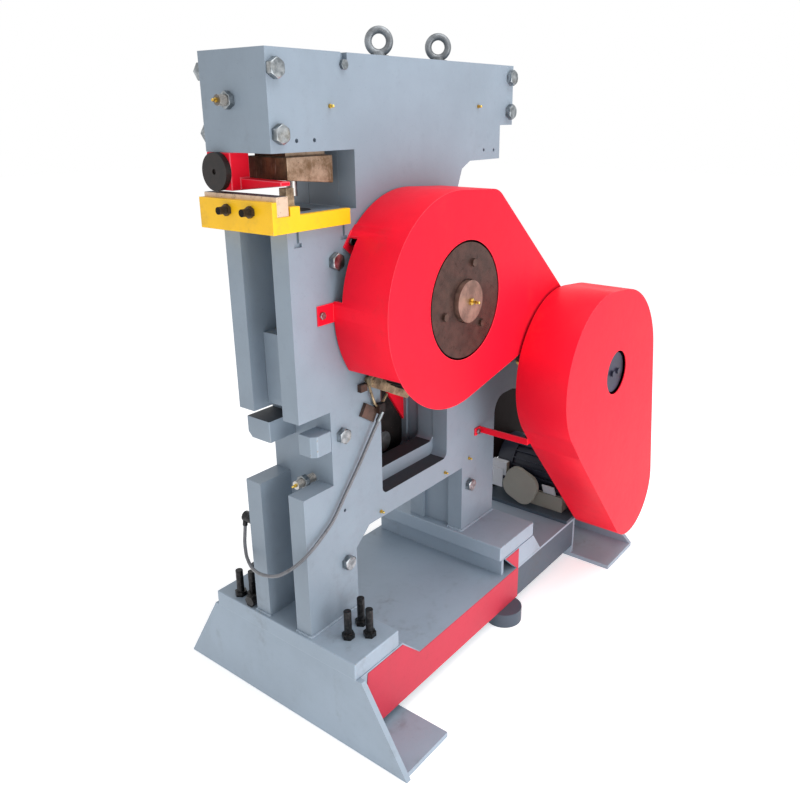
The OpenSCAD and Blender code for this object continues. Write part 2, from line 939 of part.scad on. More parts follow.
module shell(c, y_open, y_face) {
    difference() {
        slab(y_face, y_open)
            guard_outline(c, 0);
        slab(y_face + sheet_t, y_open + 1)
            guard_outline(c, sheet_t);
    }
}

module gear_guard() {
    color([0.95, 0.10, 0.18]) {
        difference() {
            shell(gear_guard_c, guard_y, gear_guard_y);
            bar_y(crank_x, crank_z, gear_guard_y - 1, gear_guard_y + sheet_t + 1, gear_opening_r);
            block(80, 204, guard_y - 26, guard_y + 1, crank_z + 34, crank_z + 187);
            block(150, 430, gear_guard_y + sheet_t, guard_y + 1, 800, 941);
        }
        for (i = [0, 1])
            gear_guard_ear(ear_places[i], ear_welds[i]);
    }
}

// Ear that lies on the side plate and is welded to the guard's rim
module gear_guard_ear(p, weld) {
    difference() {
        slab(-side_y - sheet_t, -side_y)
            translate([p.x, p.y])
                rotate(p.z)
                    translate([-ear_hole_x, -ear_h / 2])
                        square([ear_l, ear_h]);
        bar_y(p.x, p.y, -side_y - sheet_t - 1, -side_y + 1, 5, fn = 24);
    }
    intersection() {
        slab(guard_y - 30, -side_y)
            difference() {
                guard_outline(gear_guard_c, 0);
                guard_outline(gear_guard_c, sheet_t);
            }
        block(weld[0], weld[1], -side_y - 34, -side_y, weld[2], weld[3]);
    }
}

module belt_guard() {
    color([0.95, 0.10, 0.18])
        difference() {
            shell(belt_guard_c, belt_guard_y, belt_face_y);
            bar_y(drive_x, drive_z, belt_face_y - 1, belt_face_y + sheet_t + 1, belt_opening_r);
        }
}

strap_t = 5;

// Bent strap from the rear leg to the belt guard's rear rim
module guard_strap() {
    color([0.85, 0.08, 0.16])
        difference() {
            union() {
                block(strap_x - 30, strap_x, -side_y - strap_t, -side_y,
                    strap_z - 12, strap_z + 12);
                block(strap_x - strap_t, strap_x, belt_guard_y, -side_y,
                    strap_z - 8, strap_z + 12);
                block(strap_x - strap_t, strap_x + 56, belt_guard_y,
                    belt_guard_y + strap_t, strap_z - 8, strap_z + 12);
            }
            bar_y(strap_x - 16, strap_z, -side_y - strap_t - 1, -side_y + 1, 5, fn = 24);
        }
}

// ---------- drive ----------

module bush(x, z, r, s) {
    y0 = s > 0 ? core_y : -side_y;
    difference() {
        bar_y(x, z, y0, y0 + plate_t, r + bush_t);
        bar_y(x, z, y0 - 1, y0 + plate_t + 1, r + run_gap);
    }
}

module shaft_bushes() {
    color([0.72, 0.52, 0.25])
        for (s = [-1, 1]) {
            bush(crank_x, crank_z, crank_d / 2, s);
            bush(idler_x, idler_z, idler_d / 2, s);
            bush(drive_x, drive_z, drive_d / 2, s);
        }
}

ecc_r = crank_d / 2 + throw + 9;
shaft_end_y = gear_guard_y - 12;
disc_y = gear_guard_y + 1;
hub_r = 53;
hub_seat = 12;
disc_r = gear_opening_r - 5;

module eccentric_shaft() {
    color([0.50, 0.44, 0.42]) {
        bar_y(crank_x, crank_z, disc_y + hub_seat - 1, side_y + 24, crank_d / 2);
        bar_y(crank_x, crank_z, shaft_end_y, disc_y + hub_seat, hub_r);
        bar_y(crank_x, crank_z + throw, rod_y - rod_w, rod_y, ecc_r);
    }
}

module bull_gear() {
    color([0.30, 0.26, 0.24])
        difference() {
            slab(bull_y - bull_t, bull_y)
                translate([crank_x, crank_z])
                    difference() {
                        gear_outline(bull_n, bull_m, 0);
                        circle(r = crank_d / 2);
                        for (a = [30 : 60 : 330])
                            rotate(a)
                                translate([155, 0])
                                    circle(r = 32);
                    }
            slab(bull_y - bull_t - 1, bull_y - bull_t + 12)
                translate([crank_x, crank_z])
                    difference() {
                        circle(r = 222);
                        circle(r = 95);
                    }
        }
}

clutch_pcd_r = 96;
clutch_angles = [74, 194, 314];

module clutch_disc() {
    color([0.27, 0.22, 0.21])
        difference() {
            bar_y(crank_x, crank_z, disc_y, bull_y - bull_t, disc_r);
            bar_y(crank_x, crank_z, disc_y - 1, disc_y + hub_seat, hub_r + 2);
            bar_y(crank_x, crank_z, disc_y - 1, bull_y, crank_d / 2);
            for (a = clutch_angles)
                translate([crank_x, 0, crank_z])
                    rotate([0, -a, 0])
                        bar_y(clutch_pcd_r, 0, disc_y - 1, disc_y + 20, 6, fn = 24);
        }
}

module clutch_bolts() {
    color([0.38, 0.33, 0.31])
        for (a = clutch_angles)
            translate([crank_x, 0, crank_z])
                rotate([0, -a, 0]) {
                    bar_y(clutch_pcd_r, 0, disc_y, disc_y + 20, 6, fn = 24);
                    hex_y(clutch_pcd_r, 0, disc_y - 7, disc_y, 18);
                }
}

module shaft_nipple() {
    color([0.80, 0.66, 0.30])
        translate([crank_x, shaft_end_y, crank_z])
            rotate([90, 0, 0]) {
                cylinder(h = 5, r = 9, $fn = 6);
                cylinder(h = 15, r = 3.5);
                translate([0, 0, 14])
                    nipple();
            }
}

// Slot in the rod's top, wide enough for the rod's own circle
rod_slot_r = pin_r + throw + 0.5;
rod_slot_z = 2 * throw + 0.5;

module connecting_rod() {
    color([0.36, 0.35, 0.34])
        slab(rod_y - rod_w, rod_y)
            difference() {
                union() {
                    belt_shape([crank_x, crank_z + throw, ecc_r + 22],
                        [crank_x, rocker_z - rod_slot_z, rod_slot_r + 9]);
                    translate([crank_x - rod_slot_r - 9, rocker_z - rod_slot_z])
                        square([2 * rod_slot_r + 18, 2 * rod_slot_z]);
                    translate([crank_x, rocker_z + rod_slot_z])
                        circle(r = rod_slot_r + 9);
                }
                translate([crank_x, crank_z + throw])
                    circle(r = ecc_r + run_gap);
                translate([crank_x - rod_slot_r, rocker_z - rod_slot_z])
                    square([2 * rod_slot_r, 2 * rod_slot_z]);
                for (s = [-1, 1])
                    translate([crank_x, rocker_z + s * rod_slot_z])
                        circle(r = rod_slot_r);
            }
}

// The gears' turns that put teeth and gaps face to face
mesh2_a = atan2(idler_z - crank_z, idler_x - crank_x);
mesh1_a = atan2(drive_z - idler_z, drive_x - idler_x);
pinion2_turn = mesh2_a + 180 + 180 / pinion2_n + mesh2_a * bull_n / pinion2_n;
pinion1_turn = mesh1_a + 180 + 180 / pinion1_n + mesh1_a * idler_n / pinion1_n;

module idler_shaft() {
    color([0.42, 0.40, 0.39]) {
        bar_y(idler_x, idler_z, bull_y - bull_t - 8, side_y + 20, idler_d / 2);
        slab(bull_y - bull_t, bull_y)
            translate([idler_x, idler_z])
                gear_outline(pinion2_n, bull_m, pinion2_turn);
    }
}

module idler_gear() {
    color([0.36, 0.35, 0.34])
        slab(idler_y - idler_t, idler_y)
            translate([idler_x, idler_z])
                difference() {
                    gear_outline(idler_n, idler_m, 0);
                    circle(r = idler_d / 2);
                    for (a = [0 : 60 : 300])
                        rotate(a)
                            translate([150, 0])
                                circle(r = 50);
                }
}

cap_y = belt_face_y + 8;

module drive_shaft() {
    color([0.45, 0.44, 0.43]) {
        bar_y(drive_x, drive_z, pulley_end_y, side_y + 14, drive_d / 2);
        bar_y(drive_x, drive_z, cap_y, pulley_end_y, belt_opening_r - 6);
        for (s = [-1, 1])
            hex_y(drive_x + s * 18, drive_z, cap_y - 7, cap_y, 16);
        slab(idler_y - idler_t, idler_y)
            translate([drive_x, drive_z])
                gear_outline(pinion1_n, idler_m, pinion1_turn);
    }
}

groove_n = 4;

// Pulley rim section with vee grooves, turned about the shaft
module grooved_rim(r, w) {
    pitch = w / groove_n;
    difference() {
        square([r, w]);
        for (i = [0 : groove_n - 1])
            translate([r, pitch * (i + 0.5)])
                polygon([[1, -8], [1, 8], [-12, 4], [-12, -4]]);
    }
}

module belt_pulley() {
    color([0.16, 0.16, 0.17])
        translate([drive_x, pulley_y, drive_z])
            rotate([90, 0, 0])
                difference() {
                    rotate_extrude($fn = 96)
                        difference() {
                            grooved_rim(pulley_r, pulley_w);
                            translate([78, -1])
                                square([pulley_r - 78 - 26, 31]);
                            translate([78, pulley_w - 30])
                                square([pulley_r - 78 - 26, 31]);
                            translate([-1, -1])
                                square([drive_d / 2 + 1, pulley_w + 2]);
                        }
                    for (a = [0 : 60 : 300])
                        rotate(a)
                            translate([158, 0, -1])
                                cylinder(h = pulley_w + 2, r = 40);
                }
}

belt_pitch = pulley_w / groove_n;

// Four vee belts round both pulleys
module drive_belts() {
    color([0.05, 0.05, 0.06])
        for (i = [0 : groove_n - 1]) {
            y = pulley_y - belt_pitch * (i + 0.5);
            slab(y - 5, y + 5)
                difference() {
                    belt_shape([drive_x, drive_z, pulley_r + 4],
                        [motor_x, motor_z, motor_pulley_r + 4]);
                    belt_shape([drive_x, drive_z, pulley_r + 0.6],
                        [motor_x, motor_z, motor_pulley_r + 0.6]);
                }
        }
}

motor_front_y = belt_guard_y + 30;
motor_foot_half = 94;
fin_n = 24;

// Finned body with end shields, feet and a fan cover
module motor_body() {
    color([0.58, 0.58, 0.54])
        difference() {
            union() {
                bar_y(motor_x, motor_z, motor_front_y + 20, motor_front_y + motor_l - 40,
                    motor_r - 10);
                bar_y(motor_x, motor_z, motor_front_y, motor_front_y + 22, motor_r - 4);
                bar_y(motor_x, motor_z, motor_front_y + motor_l - 62,
                    motor_front_y + motor_l, motor_r - 2);
                for (i = [0 : fin_n - 1])
                    translate([motor_x, 0, motor_z])
                        rotate([0, i * 360 / fin_n, 0])
                            block(motor_r - 20, motor_r, motor_front_y + 10,
                                motor_front_y + motor_l - 50, -2, 2);
                for (s = [-1, 1])
                    block(motor_x + s * (motor_foot_half - 18) - 18,
                        motor_x + s * (motor_foot_half - 18) + 18, motor_front_y + 30,
                        motor_front_y + motor_l - 90, motor_z - motor_foot_h, motor_z - 55);
                block(motor_x - motor_foot_half, motor_x + motor_foot_half, motor_front_y + 30,
                    motor_front_y + motor_l - 90, motor_z - motor_foot_h,
                    motor_z - motor_foot_h + 10);
            }
            bar_y(motor_x, motor_z, motor_front_y - 1, motor_front_y + motor_l - 20,
                motor_shaft_d / 2 + run_gap);
        }
}

box_y = -62;
box_z = 243;
lid_x = 1096;
lid_t = 16;
lid_turn = 22;

// Rounded terminal box on the motor's side, with a bracket and blank labels
module terminal_box() {
    color([0.62, 0.61, 0.56])
        difference() {
            translate([lid_x, box_y, box_z])
                rotate([90, 0, 90])
                    rotate(lid_turn) {
                        linear_extrude(height = lid_t)
                            round_rect(-65, 65, -62, 62, 45);
                        linear_extrude(height = 60)
                            round_rect(-55, 55, -52, 52, 38);
                    }
            bar_y(motor_x, motor_z, box_y - 90, box_y + 90, motor_r + 0.1);
            block(motor_x - motor_foot_half - 2, motor_x, box_y - 90, box_y + 90,
                motor_z - motor_foot_h, motor_z - 53);
        }
    color([0.66, 0.68, 0.70])
        block(lid_x + 8, motor_x - motor_r, 0, 62, box_z + 20, box_z + 72);
    color([0.86, 0.87, 0.88]) {
        block(lid_x + 4, lid_x + 8, 14, 60, box_z - 28, box_z + 45);
        motor_label();
    }
}

// Blank label plate on the motor's side, square to a ray from its axis
module motor_label() {
    translate([motor_x, 0, motor_z])
        rotate([0, -115, 0])
            translate([0, 0, motor_r + 0.1])
                block(-6, 34, -190, -142, 0, 5);
}

cabinet_x0 = 1110;
cabinet_x1 = 1375;
cabinet_y0 = 66;
cabinet_y1 = 150;
cabinet_z0 = 300;
cabinet_z1 = 575;

// Closed switch cabinet on two legs behind the motor
module control_cabinet() {
    color([0.10, 0.10, 0.12]) {
        block(cabinet_x0, cabinet_x1, cabinet_y0 + 6, cabinet_y1, cabinet_z0, cabinet_z1);
        block(cabinet_x0 + 10, cabinet_x1 - 10, cabinet_y0, cabinet_y0 + 7,
            cabinet_z0 + 10, cabinet_z1 - 10);
        for (x = [cabinet_x0 + 52, rear_foot_x + foot_w - 40])
            block(x, x + 40, cabinet_y1 - 50, cabinet_y1 - 10, foot_t, cabinet_z0 + 1);
    }
}

module motor_shaft() {
    color([0.62, 0.62, 0.62])
        bar_y(motor_x, motor_z, pulley_y - pulley_w - 6, motor_front_y + motor_l - 24,
            motor_shaft_d / 2);
}

module motor_pulley() {
    color([0.16, 0.16, 0.17])
        translate([motor_x, pulley_y, motor_z])
            rotate([90, 0, 0])
                rotate_extrude()
                    difference() {
                        grooved_rim(motor_pulley_r, pulley_w);
                        translate([-1, -1])
                            square([motor_shaft_d / 2 + 1, pulley_w + 2]);
                    }
}

// ---------- beam linkage and slides ----------

module rocker_lever() {
    color([0.36, 0.35, 0.34])
        difference() {
            slab(-core_y + 10, core_y - 10)
                difference() {
                    union() {
                        belt_shape([rocker_x, rocker_z, 46], [crank_x, rocker_z, 40]);
                        belt_shape([crank_x, rocker_z, 40], [ram_x + 50, rocker_z, 23]);
                        translate([ram_x, rocker_z - 18])
                            square([crank_x - ram_x, 36]);
                        translate([ram_x, rocker_z])
                            circle(r = nose_r - slide_gap);
                    }
                    translate([rocker_x, rocker_z])
                        circle(r = pin_r + run_gap);
                    translate([crank_x, rocker_z])
                        circle(r = pin_r);
                }
            block(crank_x - 56, crank_x + 56, -core_y, rod_y + 2, rocker_z - 60, rocker_z + 60);
        }
}

// Fixed pivot of the lever, let into both side plates
module pivot_pin() {
    color([0.66, 0.66, 0.67])
        bar_y(rocker_x, rocker_z, -pin_half, pin_half, pin_r);
}

// Pin in the lever that the connecting rod pulls
module link_pin() {
    color([0.66, 0.66, 0.67])
        bar_y(crank_x, rocker_z, -core_y + 12, core_y - 12, pin_r);
}

ram_block_x0 = ram_x - 73;
ram_block_x1 = ram_x + 67;
ram_block_y0 = -66;
ram_block_y1 = 76;
ram_block_top = beam_z - 11;
ram_block_z0 = floor_z + 71;
ram_block_z1 = floor_z + 58;

// Ram in its pocket, with the tool block below the beam
module punch_ram() {
    color([0.55, 0.46, 0.38])
        difference() {
            union() {
                block(ram_x - ram_l / 2, ram_x + ram_l / 2, -ram_w / 2, ram_w / 2,
                    ram_block_top - 2, frame_h - 30);
                slab(ram_block_y0, ram_block_y1)
                    polygon([
                        [ram_block_x0, ram_block_z0], [ram_block_x1, ram_block_z1],
                        [ram_block_x1, ram_block_top], [ram_block_x0, ram_block_top]
                    ]);
            }
            block(ram_x - nose_r - 6, ram_x + ram_l / 2 + 1, -core_y, core_y,
                rocker_z - nose_r, rocker_z + nose_r);
            translate([ram_x, 0, ram_block_z1 - 1])
                cylinder(h = punch_seat + 1, r = punch_d / 2);
        }
}

punch_seat = 30;
punch_tip_z = floor_z + ram_stroke - 2;

// Punch held in the tool block, 2 mm into the die at full stroke
module punch() {
    color([0.30, 0.28, 0.27])
        translate([ram_x, 0, punch_tip_z])
            cylinder(h = ram_block_z1 + punch_seat - punch_tip_z, r = punch_d / 2);
}

shear_x1 = window_x + 137;

// Moving shear slide behind the near plate, with a slanted lower edge
module shear_slide() {
    color([0.24, 0.20, 0.19])
        slab(layer_y + 4, core_y - 4)
            polygon([
                [post_back_x + slide_gap, window_z + 126], [shear_x1, window_z + 162],
                [shear_x1, crank_z - 100], [post_back_x + slide_gap, crank_z - 100]
            ]);
}

slide_x = 45;
slide_z0 = notch_z + notch_h + 10;
slide_z1 = slide_z0 + 178;

// Notching slide between the plates, above the notching gap
module notch_slide() {
    color([0.58, 0.65, 0.71])
        block(slide_x, post_x - slide_gap, -core_y + slide_gap, core_y - slide_gap,
            slide_z0, slide_z1);
}

// ---------- clutch control ----------

lever_x = 238;
lever_z = 899;
lever_y = -side_y - 14;
lever_t = 12;

// Lever on a pin in the side plate that the cable pulls through two rods
module clutch_lever() {
    color([0.66, 0.55, 0.42])
        union() {
            slab(lever_y - lever_t, lever_y)
                belt_shape([lever_x, lever_z, 16], [lever_x + 128, lever_z - 73, 9]);
            bar_y(lever_x, lever_z, lever_y - lever_t - 2, -side_y - 0.3, 9);
        }
}

module rod_between(a, b, r) {
    d = b - a;
    translate(a)
        rotate([0, acos(d.z / norm(d)), atan2(d.y, d.x)])
            cylinder(h = norm(d), r = r, $fn = 16);
}

pull_y = -side_y - 9.5;
ferrule_l = 27;

// Pull rods on one hub, the cable's ferrule, the pivot's bracket and a stop block
module clutch_rods() {
    start = cable_route[0];
    start_dir = start - spline_at(cable_route, 0, 0.5);
    color([0.62, 0.52, 0.40]) {
        rod_between([232.7, pull_y, 888], [254.4, pull_y, 829.5], 3.5);
        rod_between([302.6, pull_y, 844], [278.3, pull_y, 820.6], 3.5);
        rod_between([254.4, pull_y, 829.5], [271, pull_y, 815], 3.5);
        rod_between([278.3, pull_y, 820.6], [271, pull_y, 815], 3.5);
        block(260, 283, -side_y - 20, -side_y - 5, 803, 828);
        rod_between(start, start + ferrule_l * start_dir / norm(start_dir), cable_d / 2 + 2);
    }
    color([0.28, 0.22, 0.18]) {
        block(202, 226, -side_y - 12, -side_y, 875, 894);
        translate([235, 0, 812])
            rotate([0, 33, 0])
                block(-26, 26, -side_y - 10, -side_y, -18, 18);
    }
}

// ---------- control cable ----------

function tube_ring(p, d, r, n) =
    let (u = d / norm(d))
    let (w = abs(u.z) < 0.9 ? cross(u, [0, 0, 1]) : cross(u, [1, 0, 0]))
    let (v = w / norm(w), q = cross(u, v))
    [for (k = [0 : n - 1]) p + r * (cos(360 * k / n) * v + sin(360 * k / n) * q)];

// Catmull-Rom point between route points i and i + 1
function spline_at(p, i, t) =
    let (a = p[max(i - 1, 0)], b = p[i], c = p[i + 1], d = p[min(i + 2, len(p) - 1)])
    0.5 * (2 * b + (c - a) * t + (2 * a - 5 * b + 4 * c - d) * t * t
        + (3 * b - a - 3 * c + d) * t * t * t);

module tube(route, r, n) {
    path = [
        for (i = [0 : len(route) - 2])
            for (t = [0, 0.5])
                spline_at(route, i, t),
        route[len(route) - 1]
    ];
    m = len(path);
    rings = [
        for (i = [0 : m - 1])
            tube_ring(path[i], path[min(i + 1, m - 1)] - path[max(i - 1, 0)], r, n)
    ];
    points = [for (g = rings) for (p = g) p];
    sides = [
        for (i = [0 : m - 2])
            for (k = [0 : n - 1])
                [i * n + k, i * n + (k + 1) % n, (i + 1) * n + (k + 1) % n, (i + 1) * n + k]
    ];
    polyhedron(points, concat(
        sides,
        [[for (k = [n - 1 : -1 : 0]) k]],
        [[for (k = [0 : n - 1]) (m - 1) * n + k]]
    ), convexity = 6);
}

module control_cable() {
    color([0.35, 0.34, 0.33])
        tube(cable_route, cable_d / 2, 10);
}

// Round fitting on the far side plate, with the sleeve that takes the cable's end
module cable_socket() {
    last = cable_route[len(cable_route) - 1];
    last_dir = last - spline_at(cable_route, len(cable_route) - 2, 0.5);
    color([0.25, 0.25, 0.26]) {
        translate([last.x + 9, side_y, last.z + 22])
            rotate([-90, 0, 0])
                cylinder(h = 36, r = 14);
        rod_between(last, last + 24 * last_dir / norm(last_dir), cable_d / 2 + 2);
    }
}

floor_feet();
column_pads();
deck_plate();
side_rails();
red_skirt();
motor_plate();
base_bolts();
side_plate_near();
side_plate_far();
beam_core();
throat_block();
front_post();
rear_post();
window_block();
shear_blades();
tie_bolts();
tie_nuts();
eye_bolts();
grease_nipples();
small_screws();
adjuster_studs();
adjuster_nuts();
die_table();
table_screws();
die_bar();
lower_die();
hold_down();
hold_down_cap();
notch_dies();
gear_guard();
belt_guard();
guard_strap();
shaft_bushes();
eccentric_shaft();
bull_gear();
clutch_disc();
clutch_bolts();
shaft_nipple();
connecting_rod();
idler_shaft();
idler_gear();
drive_shaft();
belt_pulley();
drive_belts();
motor_body();
terminal_box();
control_cabinet();
motor_shaft();
motor_pulley();
rocker_lever();
link_pin();
pivot_pin();
punch_ram();
punch();
shear_slide();
notch_slide();
clutch_lever();
clutch_rods();
control_cable();
cable_socket();
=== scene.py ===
import json
import math

import bpy
from mathutils import Matrix, Vector


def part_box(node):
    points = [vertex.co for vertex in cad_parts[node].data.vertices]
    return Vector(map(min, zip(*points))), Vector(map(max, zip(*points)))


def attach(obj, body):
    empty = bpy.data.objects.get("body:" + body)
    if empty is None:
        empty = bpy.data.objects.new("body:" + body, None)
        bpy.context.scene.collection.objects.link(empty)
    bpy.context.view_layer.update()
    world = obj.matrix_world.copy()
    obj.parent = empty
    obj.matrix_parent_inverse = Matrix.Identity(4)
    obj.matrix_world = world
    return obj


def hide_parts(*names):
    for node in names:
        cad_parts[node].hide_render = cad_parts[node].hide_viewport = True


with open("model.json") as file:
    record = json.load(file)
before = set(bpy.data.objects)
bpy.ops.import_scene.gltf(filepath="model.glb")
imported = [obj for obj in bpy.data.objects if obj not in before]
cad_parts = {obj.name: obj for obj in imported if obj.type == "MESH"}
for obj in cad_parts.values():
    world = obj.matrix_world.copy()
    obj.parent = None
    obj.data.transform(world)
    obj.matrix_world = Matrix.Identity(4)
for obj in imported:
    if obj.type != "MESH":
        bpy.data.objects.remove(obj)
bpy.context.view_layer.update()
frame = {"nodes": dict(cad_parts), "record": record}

bl_info = {
    "name": "Mechanical Ironworker",
    "version": (1, 0, 0),
    "blender": (4, 5, 0),
    "location": "3D View > Sidebar > Ironworker",
    "description": "Dresses a mechanical ironworker with its paint, fasteners, welds and cable",
    "category": "Object",
}

UP = Vector((0, 0, 1))
# Turns that lay a piece modelled along +Z towards the near side and the far side
NEAR = Matrix.Rotation(math.radians(90), 4, "X")
FAR = Matrix.Rotation(math.radians(-90), 4, "X")
MM = 0.001

# Camera: place in metres, then its heading, tilt and roll in radians
CAMERA_PLACE = (-1.1264, -1.3200, 1.5246)
CAMERA_YAW = 0.655512
CAMERA_PITCH = -0.334101
CAMERA_ROLL = -0.005862
CAMERA_LENS = 34.752
CAMERA_SHIFT = (-0.02568, -0.02279)

# Soft lamps: name, place, what they point at, side of the square in metres, power in watts
LAMPS = (
    ("key_lamp", (0.3, -2.9, 0.7), (0.5, 0.0, 0.7), 2.2, 46),
    ("top_lamp", (0.7, -1.3, 4.2), (0.6, 0.0, 0.3), 2.6, 74),
    ("fill_lamp", (-3.8, -0.9, 1.2), (0.2, 0.0, 0.9), 2.0, 7),
)
FLOOR_SIZE = 40.0
FLOOR_DROP = 0.0005
WORLD_LIGHT = 0.62
WORLD_SEEN = 1.0

# Tie bolts, M24 with hexagon heads
TIE_HEAD_ACROSS = 36 * MM
TIE_HEAD_HEIGHT = 16 * MM
TIE_HEAD_SHOWN = 15.5 * MM
TIE_SHANK_RADIUS = 12 * MM
TIE_SHANK_EDGE = 1.2 * MM

# Control cable: steps of the curve between two points of its route, and sides of the tube
CABLE_STEPS = 8
CABLE_SIDES = 20
CABLE_TURN = 3.5 * MM

# Heights in metres: lower edge of the windows in the side plates, a height just above the
# sill inside them, and the one below which the rails take painted shade
WINDOW_EDGE_Z = 0.558
SILL_TOP_Z = 0.61
SHADED_BELOW_Z = 0.148
# A bound in metres that lies beyond every piece
OPEN = 9.0

# Merging of corners and of flat faces, and the bend from which an edge is rounded
MERGE_DISTANCE = 0.02 * MM
FLAT_ANGLE = math.radians(0.4)
EDGE_ANGLE = math.radians(40.0)


# ---------- shader maths ----------

class Value:
    """A shader socket that takes part in Python expressions."""

    def __init__(self, finish, socket):
        self.finish = finish
        self.socket = socket

    def math(self, operation, *others):
        values = {i: v for i, v in enumerate((self, *others))}
        return self.finish.add("ShaderNodeMath", {"operation": operation}, values)

    def __add__(self, other):
        return self.math("ADD", other)

    def __mul__(self, other):
        return self.math("MULTIPLY", other)

    def __sub__(self, other):
        return self.math("SUBTRACT", other)

    def ramp(self, low, high):
        """0 below low, 1 above high, and smooth between them."""
        values = {"Value": self, "From Min": low, "From Max": high}
        return self.finish.add("ShaderNodeMapRange", {"interpolation_type": "SMOOTHSTEP"}, values)


class Finish:
    """One material, built from nodes, around a Principled shader."""

    def __init__(self, name, **constants):
        self.material = bpy.data.materials.new(name)
        self.material.use_nodes = True
        self.nodes = self.material.node_tree.nodes
        self.links = self.material.node_tree.links
        self.shader = self.nodes["Principled BSDF"]
        for socket, value in constants.items():
            self.shader.inputs[socket.replace("_", " ")].default_value = value
        self.place = self.add("ShaderNodeTexCoord", {}, {}, "Object")

    def put(self, socket, value):
        if isinstance(value, Value):
            self.links.new(value.socket, socket)
        else:
            socket.default_value = value

    def add(self, kind, settings, values, out=0):
        """Adds a node: its settings first, then the values or links of its sockets."""
        node = self.nodes.new(kind)
        for key, value in settings.items():
            setattr(node, key, value)
        for key, value in values.items():
            self.put(node.inputs[key], value)
        return Value(self, node.outputs[out])

    def stretched(self, x, y, z):
        return self.add("ShaderNodeMapping", {}, {"Vector": self.place, "Scale": (x, y, z)})

    def noise(self, scale, detail=3.0, roughness=0.5, place=None):
        values = {"Vector": place or self.place, "Scale": scale, "Detail": detail,
                  "Roughness": roughness}
        return self.add("ShaderNodeTexNoise", {}, values)

    def mix(self, amount, a, b):
        """Colour a where amount is 0 and colour b where it is 1."""
        values = {0: amount, 6: a, 7: b}
        return self.add("ShaderNodeMix", {"data_type": "RGBA"}, values, 2)

    def height_along(self, axis):
        return self.add("ShaderNodeSeparateXYZ", {}, {0: self.place}, axis)

    def bump(self, height, distance):
        values = {"Height": height, "Distance": distance}
        self.put(self.shader.inputs["Normal"], self.add("ShaderNodeBump", {}, values))

    def colour(self, value):
        self.put(self.shader.inputs["Base Color"], value)

    def rough(self, value):
        self.put(self.shader.inputs["Roughness"], value)

    def metal(self, value):
        self.put(self.shader.inputs["Metallic"], value)


def rgb(red, green, blue):
    """A colour written as on a screen, from 0 to 255, as the shader wants it."""
    def linear(c):
        c /= 255
        return c / 12.92 if c <= 0.04045 else ((c + 0.055) / 1.055) ** 2.4
    return (linear(red), linear(green), linear(blue), 1.0)


def shade(colour, level):
    """The colour made lighter or darker, and opaque."""
    return (colour[0] * level, colour[1] * level, colour[2] * level, 1.0)


# ---------- finishes ----------

def enamel(name, colour, roughness=0.4, dirt=0.3, chips=None, gloss=0.4):
    """Sprayed enamel over slightly uneven plate; chips is the share of bare metal that shows."""
    f = Finish(name, Specular_IOR_Level=gloss)
    cloud = f.noise(3.1, 4.0, 0.6)
    fine = f.noise(46.0, 4.0, 0.65)
    wipe = f.noise(9.0, 3.0, 0.6, f.stretched(1.0, 1.0, 0.18))
    body = f.mix(cloud.ramp(0.3, 0.7), shade(colour, 0.92), shade(colour, 1.07))
    body = f.mix(fine.ramp(0.52, 0.8) * 0.28, body, shade(colour, 0.82))
    grime = (wipe.ramp(0.5, 0.78) * fine.ramp(0.35, 0.7)) * dirt
    body = f.mix(grime, body, rgb(92, 84, 74))
    sparks = f.noise(310.0, 1.0, 0.5).ramp(0.74, 0.79) * 0.5
    body = f.mix(sparks, body, shade(colour, 0.55))
    rough = cloud * 0.14 + fine * 0.1 + (roughness - 0.12)
    if chips:
        bare = f.noise(120.0, 5.0, 0.7).ramp(1.0 - chips, 1.02 - chips)
        body = f.mix(bare, body, rgb(150, 146, 140))
        rough = rough - bare * 0.08
        f.metal(bare)
    f.colour(body)
    f.rough(rough)
    f.bump(f.noise(240.0, 2.0, 0.5) * 0.35 + cloud * 2.0 + f.noise(28.0, 2.0, 0.5), 0.00045)
    return f.material


def zinc_plate():
    """Dull zinc plating with warmer patches."""
    f = Finish("zinc_plate", Metallic=1.0)
    patch = f.noise(70.0, 4.0, 0.6)
    warm = f.noise(24.0, 2.0, 0.5)
    body = f.mix(patch.ramp(0.35, 0.7), rgb(116, 122, 126), rgb(176, 181, 184))
    body = f.mix(warm.ramp(0.55, 0.8) * 0.5, body, rgb(150, 138, 116))
    f.colour(body)
    f.rough(patch * 0.22 + 0.24)
    f.bump(f.noise(600.0, 2.0, 0.6), 0.00012)
    return f.material


def bright_bar():
    """Bright drawn steel with faint marks of the lathe."""
    f = Finish("bright_bar", Metallic=1.0)
    lathe = f.noise(420.0, 2.0, 0.6)
    body = f.mix(f.noise(38.0, 3.0, 0.6).ramp(0.4, 0.7), rgb(168, 166, 163), rgb(120, 114, 106))
    f.colour(body)
    f.rough(lathe * 0.15 + 0.26)
    f.bump(lathe, 0.00012)
    return f.material


def threaded_bar(name, light, dark, pitch=0.002, axis="X"):
    """Bar along the axis with the ridges of a screw thread, the grooves painted dark as painted
    shade and the crests light as painted highlight.
    """
    f = Finish(name, Metallic=0.9)
    bands_per_metre = 0.314 / pitch
    wave = f.add("ShaderNodeTexWave", {"bands_direction": axis, "wave_profile": "TRI"},
                 {"Vector": f.place, "Scale": bands_per_metre, "Distortion": 0.0})
    f.colour(f.mix(wave.ramp(0.2, 0.7), dark, light))
    f.rough(f.noise(60.0) * 0.2 + 0.32)
    f.bump(wave, 0.0011)
    return f.material


def oily_iron(name, colour, shine=0.34):
    """Dark machined iron under a film of oil."""
    f = Finish(name, Metallic=0.75)
    patch = f.noise(22.0, 5.0, 0.62)
    fine = f.noise(190.0, 3.0, 0.6)
    body = f.mix(patch.ramp(0.32, 0.72), shade(colour, 0.62), shade(colour, 1.35))
    body = f.mix(fine.ramp(0.6, 0.8) * 0.6, body, rgb(122, 104, 92))
    f.colour(body)
    f.rough(patch * 0.3 + (shine - 0.12))
    f.bump(fine + patch, 0.0003)
    return f.material


